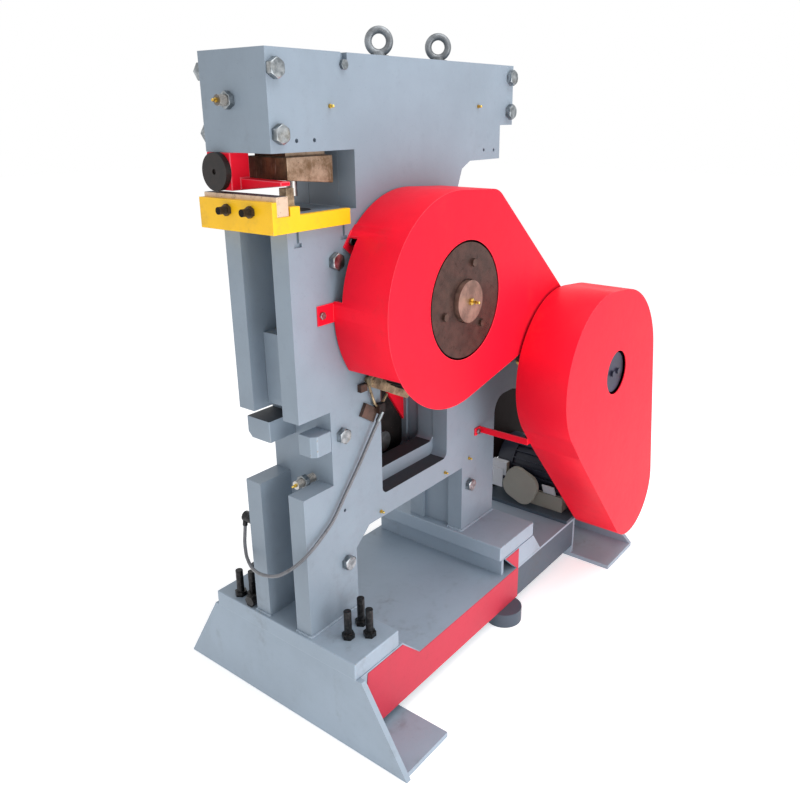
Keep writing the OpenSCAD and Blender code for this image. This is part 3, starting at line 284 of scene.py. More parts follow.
def turned_disc():
    """Oily clutch face with the rings that turning left, about the eccentric shaft."""
    f = Finish("turned_disc", Metallic=0.7)
    centre = middle_of("clutch_disc")
    dx = f.height_along("X") - centre.x
    dz = f.height_along("Z") - centre.z
    radius = (dx * dx + dz * dz).math("SQRT")
    rings = (radius * 3200.0).math("SINE") * 0.5 + 0.5
    stain = f.noise(30.0, 5.0, 0.65)
    rust = f.noise(64.0, 4.0, 0.6)
    body = f.mix(stain.ramp(0.35, 0.68), rgb(58, 42, 38), rgb(84, 60, 54))
    body = f.mix(rings * 0.25, body, rgb(116, 92, 84))
    body = f.mix(rust.ramp(0.56, 0.72) * 0.7, body, rgb(34, 24, 20))
    f.colour(body)
    f.rough(stain * 0.3 + 0.28)
    f.bump(rings * 0.4 + rust, 0.0003)
    return f.material


def stained_steel(name, light, dark, amount=0.5):
    """Bare ground steel with oil stains and a trace of rust."""
    f = Finish(name, Metallic=0.55)
    stain = f.noise(26.0, 6.0, 0.7)
    grind = f.noise(180.0, 3.0, 0.6, f.stretched(1.0, 1.0, 0.12))
    speck = f.noise(120.0, 3.0, 0.7)
    body = f.mix(stain.ramp(amount - 0.15, amount + 0.2), light, dark)
    body = f.mix(speck.ramp(0.6, 0.72) * 0.6, body, rgb(70, 50, 36))
    body = f.mix(grind.ramp(0.55, 0.8) * 0.3, body, rgb(214, 200, 184))
    f.colour(body)
    f.rough(stain * 0.3 + 0.3)
    f.bump(grind * 0.5 + speck, 0.00022)
    return f.material


def brass():
    """Tarnished brass of the grease nipples."""
    f = Finish("brass_fitting", Metallic=1.0)
    tarnish = f.noise(90.0, 3.0, 0.6)
    f.colour(f.mix(tarnish.ramp(0.4, 0.75), rgb(226, 196, 104), rgb(168, 128, 62)))
    f.rough(tarnish * 0.2 + 0.2)
    f.bump(tarnish, 0.0001)
    return f.material


def black_oxide():
    """Blackened steel of the spare bolts."""
    f = Finish("black_oxide", Metallic=0.6)
    patch = f.noise(120.0, 3.0, 0.6)
    f.colour(f.mix(patch.ramp(0.4, 0.75), rgb(22, 22, 24), rgb(58, 57, 58)))
    f.rough(patch * 0.2 + 0.24)
    f.bump(f.noise(500.0, 2.0), 0.00015)
    return f.material


def black_plastic():
    """Black moulded knob."""
    f = Finish("black_plastic", Specular_IOR_Level=0.4)
    patch = f.noise(60.0, 3.0, 0.6)
    f.colour(f.mix(patch.ramp(0.35, 0.7), rgb(20, 15, 14), rgb(38, 30, 28)))
    f.rough(patch * 0.25 + 0.35)
    f.bump(f.noise(700.0, 2.0), 0.0001)
    return f.material


def belt_rubber():
    """Dull rubber with a fine weave."""
    f = Finish("belt_rubber", Specular_IOR_Level=0.3)
    weave = f.noise(900.0, 2.0, 0.5)
    f.colour(f.mix(weave.ramp(0.3, 0.7), rgb(24, 24, 24), rgb(48, 47, 45)))
    f.rough(weave * 0.2 + 0.6)
    f.bump(weave, 0.0002)
    return f.material


def cable_sheath():
    """Smooth grey sheath over a wound cable, whose turns just show, from the piece's own map."""
    f = Finish("cable_sheath", Coat_Weight=0.5, Coat_Roughness=0.15)
    across = f.add("ShaderNodeUVMap", {"uv_map": "lay"}, {})
    turns = f.add("ShaderNodeSeparateXYZ", {}, {0: across}, "Y") * (2 * math.pi / CABLE_TURN)
    wave = turns.math("SINE") * 0.5 + 0.5
    grime = f.noise(60.0, 4.0, 0.6)
    body = f.mix(wave * 0.6, rgb(70, 70, 76), rgb(136, 139, 146))
    body = f.mix(grime.ramp(0.45, 0.75) * 0.6, body, rgb(58, 56, 58))
    f.colour(body)
    f.rough(grime * 0.2 + 0.22)
    f.bump(wave * 0.2 + grime, 0.0002)
    return f.material


def backdrop():
    """Pale floor that keeps a soft shadow and is plain white away from it."""
    f = Finish("studio_floor", Roughness=0.9, Specular_IOR_Level=0.0, Emission_Strength=0.43,
               Emission_Color=(1.0, 1.0, 1.0, 1.0))
    f.colour(f.mix(f.noise(1.5).ramp(0.3, 0.7), rgb(250, 250, 250), rgb(247, 247, 248)))
    return f.material


# ---------- modelling helpers ----------

def deselect():
    if bpy.context.object and bpy.context.object.mode != "OBJECT":
        bpy.ops.object.mode_set(mode="OBJECT")
    bpy.ops.object.select_all(action="DESELECT")


def take(*objects):
    """Selects these objects and makes the first one active."""
    deselect()
    for o in objects:
        o.select_set(True)
    bpy.context.view_layer.objects.active = objects[0]


def settle(obj):
    """Puts the object's place, turn and size into its mesh."""
    take(obj)
    bpy.ops.object.transform_apply(location=True, rotation=True, scale=True)
    return obj


def join(objects, name):
    take(*objects)
    bpy.ops.object.transform_apply(location=True, rotation=True, scale=True)
    if len(objects) > 1:
        bpy.ops.object.join()
    made = bpy.context.object
    made.name = name
    return made


def at(x, y, z):
    return Matrix.Translation((x, y, z))


def spread(model, places, name):
    """Copies the model to every place, each copy with its own mesh, and joins them."""
    made = []
    for place in places:
        copy = model.copy()
        copy.data = model.data.copy()
        bpy.context.collection.objects.link(copy)
        copy.matrix_world = place
        made.append(copy)
    drop(model)
    return join(made, name)


def drop(obj):
    deselect()
    obj.select_set(True)
    bpy.ops.object.delete()


def apply_modifier(obj, kind, **settings):
    take(obj)
    modifier = obj.modifiers.new(kind.lower(), kind)
    for key, value in settings.items():
        setattr(modifier, key, value)
    bpy.ops.object.modifier_apply(modifier=modifier.name)


def leave_edit():
    bpy.ops.object.mode_set(mode="OBJECT")


def smooth(obj, angle=38.0):
    take(obj)
    bpy.ops.object.shade_smooth_by_angle(angle=math.radians(angle))
    return obj


def paint(obj, *materials):
    obj.data.materials.clear()
    for material in materials:
        obj.data.materials.append(material)
    return obj


def finished(obj, body, slot, *materials):
    """Paints a piece and lets it ride on its body; the slot is not used."""
    paint(obj, *materials)
    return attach(obj, body)


def cylinder(radius, depth):
    """Solid cylinder that stands on the XY plane."""
    deselect()
    bpy.ops.mesh.primitive_cylinder_add(vertices=48, radius=radius, depth=depth)
    made = bpy.context.object
    made.matrix_world = at(0, 0, depth / 2)
    return settle(made)


def round_edges(obj, width, keep_material=True):
    """Rounds the sharp edges; the rounded faces take the second material unless it is kept."""
    apply_modifier(obj, "BEVEL", width=width, segments=2, limit_method="ANGLE",
                   angle_limit=EDGE_ANGLE, use_clamp_overlap=True,
                   material=-1 if keep_material else 1)
    smooth(obj)
    apply_modifier(obj, "WEIGHTED_NORMAL", mode="FACE_AREA", weight=100, keep_sharp=True)
    return obj


def merged_copy(node, name):
    """Copy of a CAD node with its corners merged, left in edit mode with all of it selected."""
    source = frame["nodes"][node]
    made = source.copy()
    made.data = source.data.copy()
    made.name = name
    for key in list(made.keys()):
        del made[key]
    bpy.context.collection.objects.link(made)
    made.parent = None
    take(made)
    bpy.ops.object.mode_set(mode="EDIT")
    bpy.ops.mesh.select_all(action="SELECT")
    bpy.ops.mesh.remove_doubles(threshold=MERGE_DISTANCE)
    return made


def dress(node, width, *materials):
    """Copy of a CAD node with small rounded edges, which then stands for the node."""
    made = merged_copy(node, node + "_dressed")
    bpy.ops.mesh.dissolve_limited(angle_limit=FLAT_ANGLE)
    leave_edit()
    paint(made, *materials)
    round_edges(made, width, keep_material=len(materials) < 2)
    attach(made, body_of(node))
    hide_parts(node)
    return made


def flat_sheets(obj):
    """Shades the sheet's flat front and back flat, and the rest from its own faces alone."""
    take(obj)
    bpy.ops.mesh.customdata_custom_splitnormals_clear()
    for face in obj.data.polygons:
        if abs(face.normal.y) > 0.999:
            face.use_smooth = False


def within(x=(-OPEN, OPEN), y=(-OPEN, OPEN), z=(-OPEN, OPEN)):
    """Test for tint: the face's centre lies between these bounds, in metres."""
    return lambda centre, normal: all(
        low < place < high for place, (low, high) in zip(centre, (x, y, z)))


def tint(obj, name, test):
    """Gives another finish to the faces whose centre and normal pass the test, in metres."""
    obj.data.materials.append(finish(name))
    index = len(obj.data.materials) - 1
    for face in obj.data.polygons:
        if test(face.center, face.normal):
            face.material_index = index


def middle_of(node):
    """Middle of a CAD node's box at rest."""
    low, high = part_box(node)
    return (low + high) / 2


def body_of(node):
    bodies = frame["record"]["behaviour"]["bodies"]
    return next(name for name, nodes in bodies.items() if node in nodes)


def slot_of(node):
    return next(p["material_slot"] for p in frame["record"]["subparts"] if p["node"] == node)


def solid_boxes(node):
    """Low and high corner of each separate solid of a CAD node, from the front to the rear."""
    merged_copy(node, "separated")
    bpy.ops.mesh.separate(type="LOOSE")
    leave_edit()
    parts = list(bpy.context.selected_objects)
    boxes = []
    for part in parts:
        points = [v.co for v in part.data.vertices]
        low = Vector([min(p[i] for p in points) for i in range(3)])
        high = Vector([max(p[i] for p in points) for i in range(3)])
        boxes.append((low, high))
    for part in parts:
        drop(part)
    return sorted(boxes, key=lambda b: (round(b[0].x, 4), round(b[0].y, 4), round(b[0].z, 4)))


def hex_blank(across, height):
    """Hexagon along +Z with its crown chamfered as a bolt head's is."""
    crown = across * 0.47
    flare = height * 2.7
    depth = height * 1.6
    deselect()
    bpy.ops.mesh.primitive_cylinder_add(vertices=6, radius=across / math.sqrt(3), depth=height)
    hexagon = bpy.context.object
    hexagon.location.z = height / 2
    settle(hexagon)
    deselect()
    bpy.ops.mesh.primitive_cone_add(vertices=64, radius1=crown + flare, radius2=crown,
                                    depth=depth)
    cone = bpy.context.object
    cone.location.z = height - depth / 2
    settle(cone)
    apply_modifier(hexagon, "BOOLEAN", operation="INTERSECT", object=cone, solver="EXACT")
    drop(cone)
    return smooth(hexagon, 22.0)


# ---------- settings ----------

class IronworkerSizes(bpy.types.PropertyGroup):
    """Sizes of the dressing, in metres"""

    plate_edge: bpy.props.FloatProperty(
        name="Plate edge radius", description="Radius ground on the edges of the thick plates",
        default=0.0022, min=0.0005, max=0.004, unit="LENGTH", subtype="DISTANCE")
    sheet_edge: bpy.props.FloatProperty(
        name="Guard edge radius", description="Radius on the edges of the sheet guards",
        default=0.0011, min=0.0004, max=0.0014, unit="LENGTH", subtype="DISTANCE")
    weld_size: bpy.props.FloatProperty(
        name="Weld size", description="Radius of the weld beads",
        default=0.0045, min=0.002, max=0.007, unit="LENGTH", subtype="DISTANCE")
    cable_radius: bpy.props.FloatProperty(
        name="Cable radius", description="Radius of the control cable",
        default=0.0045, min=0.004, max=0.006, unit="LENGTH", subtype="DISTANCE")


class IronworkerColours(bpy.types.PropertyGroup):
    """Paint colours of the machine"""

    frame_paint: bpy.props.FloatVectorProperty(
        name="Frame paint", description="Enamel on the frame and base",
        default=rgb(150, 165, 180)[:3], size=3, min=0.0, max=1.0, subtype="COLOR")
    guard_paint: bpy.props.FloatVectorProperty(
        name="Guard paint", description="Enamel on the guards",
        default=rgb(240, 22, 48)[:3], size=3, min=0.0, max=1.0, subtype="COLOR")
    table_paint: bpy.props.FloatVectorProperty(
        name="Table paint", description="Enamel on the die table",
        default=rgb(252, 196, 20)[:3], size=3, min=0.0, max=1.0, subtype="COLOR")
    rail_paint: bpy.props.FloatVectorProperty(
        name="Rail paint", description="Paint on the cover sheet of the near rail",
        default=rgb(218, 68, 88)[:3], size=3, min=0.0, max=1.0, subtype="COLOR")


def sizes():
    return bpy.context.scene.ironworker_sizes


def colours():
    return bpy.context.scene.ironworker_colours


MADE = {}


def finish(name):
    """The material of that name, made the first time that it is asked for."""
    if name not in MADE:
        MADE[name] = RECIPES[name]()
    return MADE[name]


# How each finish is made; the colours in the settings are read when a finish is asked for
RECIPES = {
    "frame": lambda: enamel("frame_enamel", shade(colours().frame_paint, 0.8), 0.4, 0.25),
    # The frame's edge finish is its paint made lighter, a painted highlight along the rounded
    # edges, with chipped wear.
    "frame_edge_highlight_and_wear": lambda: enamel("frame_edge_highlight_and_wear", shade(colours().frame_paint, 0.93), 0.42, 0.4, 0.4),
    # The base enamel is the frame paint made lighter than the frame's, as painted light on the
    # deck, feet, pads and rails.
    "base": lambda: enamel("base_enamel_painted_light", shade(colours().frame_paint, 0.98), 0.45, 0.4),
    # The base's edge finish is its paint made lighter, a painted highlight along the rounded
    # edges, with chipped wear.
    "base_edge_highlight_and_wear": lambda: enamel("base_edge_highlight_and_wear", shade(colours().frame_paint, 1.1), 0.45, 0.5, 0.38),
    # The dark enamel is painted shade on the lower rails and the round pads; the motor plate takes
    # it too.
    "dark": lambda: enamel("shade_enamel", rgb(78, 89, 101), 0.5, 0.6, gloss=0.25),
    "guard": lambda: enamel("guard_enamel", shade(colours().guard_paint, 1.0), 0.42, 0.1,
                            gloss=0.12),
    # The guards' edge finish is a lighter red, a painted highlight along the rounded rims.
    "guard_edge_highlight": lambda: enamel("guard_edge_highlight", rgb(240, 84, 100), 0.4, 0.1, gloss=0.3),
    "table": lambda: enamel("table_enamel", shade(colours().table_paint, 1.0), 0.42, 0.35),
    "table_edge": lambda: enamel("table_edge", shade(colours().table_paint, 0.8), 0.42, 0.6, 0.46),
    "rail": lambda: enamel("rail_paint", shade(colours().rail_paint, 0.74), 0.5, 0.12, gloss=0.15),
    "motor": lambda: enamel("motor_enamel", rgb(34, 38, 52), 0.4, 0.4),
    "box": lambda: enamel("terminal_enamel", rgb(160, 157, 148), 0.42, 0.2),
    "label": lambda: enamel("label_plate", rgb(206, 208, 214), 0.5, 0.25),
    "cabinet": lambda: enamel("cabinet_enamel", rgb(24, 14, 14), 0.6, 0.2, gloss=0.06),
    # The ledge finish is dark dirt that also stands as painted shade on the sills and the far
    # notching die.
    "grime": lambda: enamel("ledge_grime_and_shade", rgb(62, 66, 72), 0.6, 0.9),
    "eye": lambda: oily_iron("eye_steel", rgb(132, 136, 140), 0.42),
    # The ram's front face finish is its steel made darker, as painted shade.
    "ram_front_shade": lambda: stained_steel("ram_front_shade", rgb(104, 82, 56), rgb(50, 38, 24)),
    "zinc": zinc_plate,
    "bright": bright_bar,
    "stud": lambda: threaded_bar("stud_thread", rgb(206, 204, 200), rgb(116, 110, 104)),
    "thread": lambda: threaded_bar("tie_thread", rgb(196, 196, 194), rgb(108, 106, 102),
                                   0.003, "Y"),
    "screw": lambda: threaded_bar("screw_thread", rgb(96, 82, 66), rgb(26, 22, 20)),
    "oily": lambda: oily_iron("oily_iron", rgb(92, 72, 64)),
    "iron": lambda: oily_iron("cast_iron", rgb(42, 38, 38), 0.5),
    "cap": lambda: oily_iron("pulley_end", rgb(64, 64, 84), 0.4),
    "shaft": lambda: oily_iron("shaft_end", rgb(150, 120, 108), 0.36),
    "disc": turned_disc,
    "ram": lambda: stained_steel("ram_steel", rgb(176, 152, 130), rgb(112, 88, 62)),
    "die": lambda: stained_steel("die_steel", rgb(216, 192, 168), rgb(120, 104, 90), 0.62),
    "linkage": lambda: stained_steel("linkage_steel", rgb(184, 164, 132), rgb(96, 80, 62)),
    "brass": brass,
    "oxide": black_oxide,
    "plastic": black_plastic,
    "rubber": belt_rubber,
    "sheath": cable_sheath,
}

# CAD nodes that keep their own shape, with the finish of each
PLAIN_NODES = {
    "deck_plate": "base", "motor_plate": "dark", "control_cabinet": "cabinet",
    "shaft_bushes": "brass", "bull_gear": "iron", "connecting_rod": "iron",
    "idler_shaft": "iron", "idler_gear": "iron", "drive_shaft": "cap",
    "belt_pulley": "iron", "drive_belts": "rubber", "motor_shaft": "bright",
    "motor_pulley": "iron", "rocker_lever": "iron", "link_pin": "bright",
    "pivot_pin": "bright", "punch": "bright", "cable_socket": "oxide",
    "eccentric_shaft": "shaft", "clutch_disc": "disc", "clutch_bolts": "oily",
    "shaft_nipple": "brass", "grease_nipples": "brass", "eye_bolts": "eye",
    "hold_down_cap": "plastic", "adjuster_studs": "stud",
    "table_screws": "screw", "shear_slide": "oily", "clutch_lever": "linkage",
}

# Plates and blocks of the frame that get ground edges
FRAME_NODES = (
    "side_plate_near", "side_plate_far", "beam_core", "throat_block", "front_post",
    "rear_post", "window_block", "notch_dies", "notch_slide",
)

# Points of the control cable's route, in millimetres, from the ferrule to the far side plate
CABLE_ROUTE = (
    (257, -118, 783), (222, -116, 736), (186, -114, 688), (136, -113, 630),
    (86, -113, 574), (43, -113, 545), (4, -114, 526), (-25, -94, 495),
    (-43, -62, 467), (-47, -28, 448), (-47, 18, 436), (-37, 62, 431),
    (-21, 100, 439), (-10, 118, 453), (-3, 127, 470), (3, 131, 490), (7, 132, 512),
)

# Ends of the weld beads between the legs and their pads, in millimetres
WELDS = (
    ((2, -103, 272), (178, -103, 272)), ((-1, -101, 272), (-1, -51, 272)),
    ((-1, 51, 272), (-1, 101, 272)), ((102, -49, 272), (102, 49, 272)),
    ((666, -103, 272), (844, -103, 272)), ((664, -101, 272), (664, -51, 272)),
)


# ---------- operators ----------

class IRONWORKER_OT_stage(bpy.types.Operator):
    """Camera, floor, white surroundings and soft lamps"""

    bl_idname = "ironworker.stage"
    bl_label = "Stage"

    def execute(self, context):
        self.camera(context.scene)
        self.floor()
        self.surroundings(context.scene)
        for lamp in LAMPS:
            self.lamp(*lamp)
        context.scene.view_settings.view_transform = "Standard"
        return {"FINISHED"}

    def camera(self, scene):
        data = bpy.data.cameras.new("camera")
        data.lens = CAMERA_LENS
        data.shift_x, data.shift_y = CAMERA_SHIFT
        data.clip_end = 50
        camera = bpy.data.objects.new("camera", data)
        scene.collection.objects.link(camera)
        level = math.cos(CAMERA_PITCH)
        ahead = Vector((math.cos(CAMERA_YAW) * level, math.sin(CAMERA_YAW) * level,
                        math.sin(CAMERA_PITCH)))
        turn = ahead.to_track_quat("-Z", "Y").to_matrix().to_4x4()
        turn = turn @ Matrix.Rotation(CAMERA_ROLL, 4, "Z")
        camera.matrix_world = at(*CAMERA_PLACE) @ turn
        scene.camera = camera

    def floor(self):
        """Wide floor just under the feet, cut into squares."""
        deselect()
        bpy.ops.mesh.primitive_plane_add(size=FLOOR_SIZE, location=(0, 0, -FLOOR_DROP))
        floor = bpy.context.object
        floor.name = "studio_floor"
        settle(floor)
        bpy.ops.object.mode_set(mode="EDIT")
        bpy.ops.mesh.subdivide(number_cuts=3)
        leave_edit()
        paint(floor, backdrop())

    def surroundings(self, scene):
        """Even light from all round, which the camera and reflections see as plain white."""
        world = bpy.data.worlds.new("studio")
        scene.world = world
        world.use_nodes = True
        tree = world.node_tree
        light = tree.nodes["Background"]
        seen = tree.nodes.new("ShaderNodeBackground")
        for background, strength in ((light, WORLD_LIGHT), (seen, WORLD_SEEN)):
            background.inputs["Color"].default_value = (1.0, 1.0, 1.0, 1.0)
            background.inputs["Strength"].default_value = strength
        path = tree.nodes.new("ShaderNodeLightPath")
        either = tree.nodes.new("ShaderNodeMath")
        either.operation = "MAXIMUM"
        mixer = tree.nodes.new("ShaderNodeMixShader")
        tree.links.new(path.outputs["Is Camera Ray"], either.inputs[0])
        tree.links.new(path.outputs["Is Glossy Ray"], either.inputs[1])
        tree.links.new(either.outputs[0], mixer.inputs[0])
        tree.links.new(light.outputs[0], mixer.inputs[1])
        tree.links.new(seen.outputs[0], mixer.inputs[2])
        tree.links.new(mixer.outputs[0], tree.nodes["World Output"].inputs["Surface"])

    def lamp(self, name, place, target, size, power):
        data = bpy.data.lights.new(name, "AREA")
        data.energy, data.size = power, size
        made = bpy.data.objects.new(name, data)
        bpy.context.collection.objects.link(made)
        aim = (Vector(target) - Vector(place)).to_track_quat("-Z", "Y").to_matrix().to_4x4()
        made.matrix_world = at(*place) @ aim


class IRONWORKER_OT_cable(bpy.types.Operator):
    """Control cable that hangs from the clutch linkage to the far side plate"""

    bl_idname = "ironworker.cable"
    bl_label = "Control cable"

    def execute(self, context):
        path = self.curve([Vector(p) / 1000 for p in CABLE_ROUTE])
        cable = self.tube(path, sizes().cable_radius, CABLE_SIDES)
        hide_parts("control_cable")
        length = sum((b - a).length for a, b in zip(path, path[1:]))
        finished(cable, "frame", "braid", finish("sheath"))
        return {"FINISHED"}

    def curve(self, route):
        """Smooth curve through every point of the route."""
        path = []
        for i in range(len(route) - 1):
            a, b, c = route[max(i - 1, 0)], route[i], route[i + 1]
            d = route[min(i + 2, len(route) - 1)]
            for step in range(CABLE_STEPS):
                t = step / CABLE_STEPS
                path.append(0.5 * (2 * b + (c - a) * t + (2 * a - 5 * b + 4 * c - d) * t * t
                                   + (3 * b - a - 3 * c + d) * t * t * t))
        path.append(route[-1])
        return path

    def tube(self, path, radius, sides):
        """Tube along the path, with a map that runs round it and along it in metres."""
        points, along, total = [], [], 0.0
        side = None
        for i, p in enumerate(path):
            if i:
                total += (p - path[i - 1]).length
            along.append(total)
            ahead = (path[min(i + 1, len(path) - 1)] - path[max(i - 1, 0)]).normalized()
            if side is None:
                side = ahead.cross(UP).normalized()
            side = (side - ahead * side.dot(ahead)).normalized()
            other = ahead.cross(side)
            for k in range(sides):
                a = 2 * math.pi * k / sides
                points.append(p + radius * (math.cos(a) * side + math.sin(a) * other))
        faces = [(i * sides + k, i * sides + (k + 1) % sides, (i + 1) * sides + (k + 1) % sides,
                  (i + 1) * sides + k) for i in range(len(path) - 1) for k in range(sides)]
        faces.append(tuple(range(sides - 1, -1, -1)))
        faces.append(tuple((len(path) - 1) * sides + k for k in range(sides)))
        mesh = bpy.data.meshes.new("control_cable_sheath")
        mesh.from_pydata(points, [], faces)
        lay = mesh.uv_layers.new(name="lay")
        for face in mesh.polygons:
            for loop in face.loop_indices:
                ring, k = divmod(mesh.loops[loop].vertex_index, sides)
                wrapped = k == 0 and any(
                    mesh.loops[j].vertex_index % sides == sides - 1 for j in face.loop_indices)
                lay.data[loop].uv = (1.0 if wrapped else k / sides, along[ring])
        made = bpy.data.objects.new("control_cable_sheath", mesh)
        bpy.context.collection.objects.link(made)
        take(made)
        bpy.ops.object.mode_set(mode="EDIT")
        bpy.ops.mesh.select_all(action="SELECT")
        bpy.ops.mesh.normals_make_consistent(inside=False)
        leave_edit()
        return smooth(made, 60.0)


class IRONWORKER_OT_plain(bpy.types.Operator):
    """Finishes of the pieces whose CAD shape is shown as it is"""

    bl_idname = "ironworker.plain"
    bl_label = "Plain pieces"

    def execute(self, context):
        for node, name in PLAIN_NODES.items():
            paint(frame["nodes"][node], finish(name))
        return {"FINISHED"}


class IRONWORKER_OT_frame(bpy.types.Operator):
    """Thick plates and blocks of the frame with ground edges"""

    bl_idname = "ironworker.frame"
    bl_label = "Frame"

    def execute(self, context):
        edge = sizes().plate_edge
        made = {node: dress(node, edge, finish("frame"), finish("frame_edge_highlight_and_wear"))
                for node in FRAME_NODES}
        # Dirt and painted shade lie on the window's sills and on the far notching die
        tint(made["window_block"], "grime", lambda c, n: n.z > 0.9 and c.z < SILL_TOP_Z)
        for node in ("side_plate_near", "side_plate_far"):
            tint(made[node], "grime",
                 lambda c, n: n.z > 0.9 and abs(c.z - WINDOW_EDGE_Z) < 3 * MM)
        tint(made["notch_dies"], "grime", lambda c, n: n.z > 0.9 and c.y > 0)
        return {"FINISHED"}


class IRONWORKER_OT_base(bpy.types.Operator):
    """Feet, pads and rails of the base"""

    bl_idname = "ironworker.base"
    bl_label = "Base"

    def execute(self, context):
        edge = sizes().plate_edge
        feet = dress("floor_feet", edge, finish("base"), finish("base_edge_highlight_and_wear"))
        # The round pads under the rails, and the lower part of the rails, take the dark enamel as
        # painted shade under the deck
        tint(feet, "dark", lambda c, n: 0.62 < c.x < 0.76 and abs(c.y) > 0.19)
        dress("column_pads", edge * 1.4, finish("base"), finish("base_edge_highlight_and_wear"))
        rails = dress("side_rails", edge * 0.8, finish("base"), finish("base_edge_highlight_and_wear"))
        tint(rails, "dark", within(z=(-OPEN, SHADED_BELOW_Z)))
        dress("red_skirt", 0.6 * MM, finish("rail"))
        return {"FINISHED"}


class IRONWORKER_OT_guards(bpy.types.Operator):
    """Sheet guards over the gears and the belts, and their strap"""

    bl_idname = "ironworker.guards"
    bl_label = "Guards"

    def execute(self, context):
        for node in ("gear_guard", "belt_guard"):
            flat_sheets(dress(node, sizes().sheet_edge, finish("guard"), finish("guard_edge_highlight")))
        dress("guard_strap", 1 * MM, finish("guard"), finish("guard_edge_highlight"))
        dress("hold_down", 2 * MM, finish("guard"), finish("guard_edge_highlight"))
        return {"FINISHED"}


class IRONWORKER_OT_table(bpy.types.Operator):
    """Yellow die table and the bare steel tools in the throat"""

    bl_idname = "ironworker.table"
    bl_label = "Die table"

    def execute(self, context):
        dress("die_table", 1.4 * MM, finish("table"), finish("table_edge"))
        bar = dress("die_bar", 1.2 * MM, finish("die"))
        tint(bar, "grime", lambda c, n: n.z > 0.7)
        ram = dress("punch_ram", 2 * MM, finish("ram"))
        # The ram's front face takes a darker steel, as painted shade on that side.
        tint(ram, "ram_front_shade", lambda c, n: n.x < -0.9)
        tools = dress("lower_die", 1 * MM, finish("iron"))
        # The stop block in front of the die
        tint(tools, "linkage", lambda c, n: c.x < 0.04)
        return {"FINISHED"}


class IRONWORKER_OT_fittings(bpy.types.Operator):
    """Bolts, nuts, pull rods, blades and the motor's terminal box"""

    bl_idname = "ironworker.fittings"
    bl_label = "Fittings"

    def execute(self, context):
        self.tie_bolts()
        for node in ("tie_nuts", "adjuster_nuts", "small_screws"):
            dress(node, 1.1 * MM, finish("zinc"))
        dress("base_bolts", 1 * MM, finish("oxide"))
        self.clutch_rods()
        self.shear_blades()
        self.motor()
        return {"FINISHED"}

    def clutch_rods(self):
        """Pull rods with their bracket plate, the block on them, stop block and ferrule."""
        rods = dress("clutch_rods", 0.7 * MM, finish("linkage"))
        tint(rods, "oily", within(x=(-OPEN, 0.228), z=(0.87, OPEN)))
        tint(rods, "iron", within(x=(0.259, 0.284), z=(0.8025, 0.829)))
        tint(rods, "oily", within(x=(-OPEN, 0.268), y=(-0.113, OPEN), z=(-OPEN, 0.845)))
        tint(rods, "zinc", within(x=(0.249, OPEN), y=(-OPEN, -0.111), z=(-OPEN, 0.8028)))

    def shear_blades(self):
        """Fixed blade plate with its red hold-down above and its boss below."""
        blades = dress("shear_blades", 1 * MM, finish("iron"))
        tint(blades, "guard", within(y=(-OPEN, 0.0675), z=(0.64, OPEN)))
        tint(blades, "eye", within(y=(-OPEN, 0.0675), z=(-OPEN, 0.64)))

    def motor(self):
        """Motor on light feet, and its terminal box with the label plates on either side."""
        lid = dress("terminal_box", 3 * MM, finish("box"))
        tint(lid, "label", lambda c, n: c.y > 0.009 or c.y < -0.14)
        motor = dress("motor_body", 0.6 * MM, finish("motor"))
        feet_top = middle_of("motor_shaft").z - 50 * MM
        tint(motor, "box", within(z=(-OPEN, feet_top)))

    def tie_bolts(self):
        """Hexagon heads with chamfered crowns on the near side, and the threaded shanks."""
        boxes = solid_boxes("tie_bolts")
        middles = [((a.x + b.x) / 2, (a.z + b.z) / 2) for a, b in boxes]
        face, end = boxes[0][0].y + TIE_HEAD_HEIGHT, boxes[0][1].y
        heads = spread(hex_blank(TIE_HEAD_ACROSS, TIE_HEAD_SHOWN),
                       [at(x, face, z) @ NEAR for x, z in middles], "tie_bolts_dressed")
        shank = cylinder(TIE_SHANK_RADIUS, end - face)
        round_edges(shank, TIE_SHANK_EDGE)
        shanks = spread(shank, [at(x, face, z) @ FAR for x, z in middles], "tie_bolt_shanks")
        for piece, name in ((heads, "zinc"), (shanks, "thread")):
            finished(piece, "frame", slot_of("tie_bolts"), finish(name))
            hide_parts("tie_bolts")


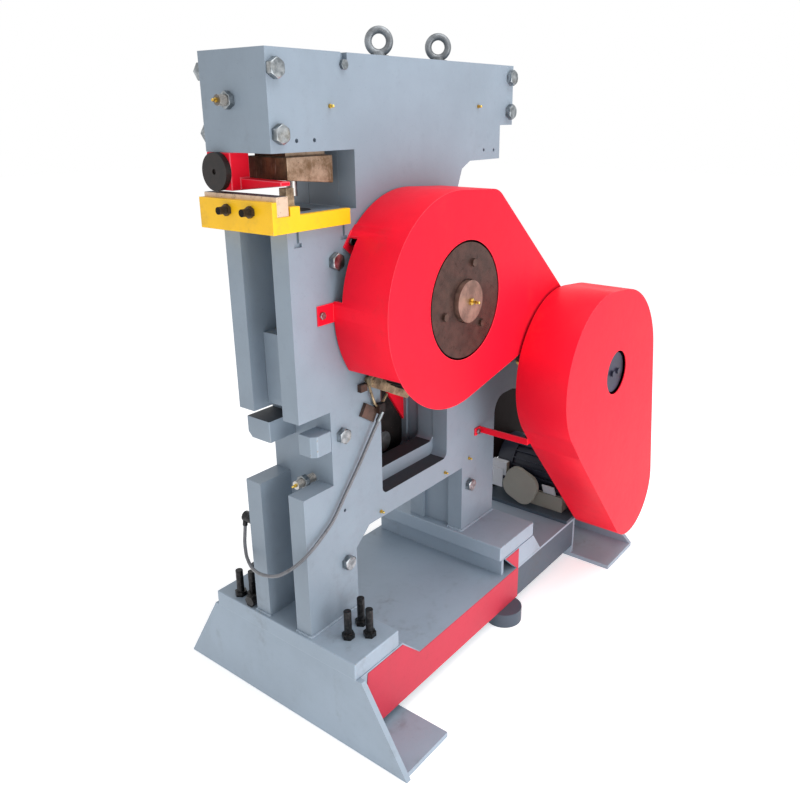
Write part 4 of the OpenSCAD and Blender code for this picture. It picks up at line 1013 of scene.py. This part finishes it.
class IRONWORKER_OT_welds(bpy.types.Operator):
    """Weld beads between the legs and the pads"""

    bl_idname = "ironworker.welds"
    bl_label = "Welds"

    def execute(self, context):
        radius = sizes().weld_size
        deselect()
        bpy.ops.mesh.primitive_uv_sphere_add(segments=14, ring_count=8, radius=radius)
        drop_of_weld = context.object
        places = [place for weld in WELDS for place in self.row(*weld, radius)]
        beads = smooth(spread(drop_of_weld, places, "weld_beads"), 60.0)
        finished(beads, "frame", slot_of("column_pads"), finish("base"))
        return {"FINISHED"}

    def row(self, first, last, radius):
        """Places of the drops of one bead, slightly uneven in place and size."""
        first, last = Vector(first) / 1000, Vector(last) / 1000
        count = int((last - first).length / (radius * 1.05))
        for i in range(count + 1):
            wobble = Vector((math.sin(i * 5.1), math.cos(i * 3.7), math.sin(i * 2.3)))
            p = first.lerp(last, i / count) + wobble * radius * 0.08
            yield at(*p) @ Matrix.Scale(0.92 + 0.1 * math.sin(i * 1.9), 4)


class IRONWORKER_PT_panel(bpy.types.Panel):
    """The machine's sizes, colours and groups of pieces"""

    bl_idname = "IRONWORKER_PT_panel"
    bl_label = "Ironworker"
    bl_space_type = "VIEW_3D"
    bl_region_type = "UI"
    bl_category = "Ironworker"

    def draw(self, context):
        for group in (context.scene.ironworker_sizes, context.scene.ironworker_colours):
            for name in group.__annotations__:
                self.layout.prop(group, name)
        for step in STEPS:
            self.layout.operator(step.bl_idname)


STEPS = (
    IRONWORKER_OT_stage, IRONWORKER_OT_cable, IRONWORKER_OT_plain, IRONWORKER_OT_frame,
    IRONWORKER_OT_base, IRONWORKER_OT_guards, IRONWORKER_OT_table,
    IRONWORKER_OT_fittings, IRONWORKER_OT_welds,
)
CLASSES = (IronworkerSizes, IronworkerColours, *STEPS, IRONWORKER_PT_panel)


def register():
    for c in CLASSES:
        bpy.utils.register_class(c)
    bpy.types.Scene.ironworker_sizes = bpy.props.PointerProperty(type=IronworkerSizes)
    bpy.types.Scene.ironworker_colours = bpy.props.PointerProperty(type=IronworkerColours)


def unregister():
    del bpy.types.Scene.ironworker_colours
    del bpy.types.Scene.ironworker_sizes
    for c in reversed(CLASSES):
        bpy.utils.unregister_class(c)


def main():
    register()
    for step in STEPS:
        group, name = step.bl_idname.split(".")
        getattr(getattr(bpy.ops, group), name)()


if __name__ == "__main__":
    main()
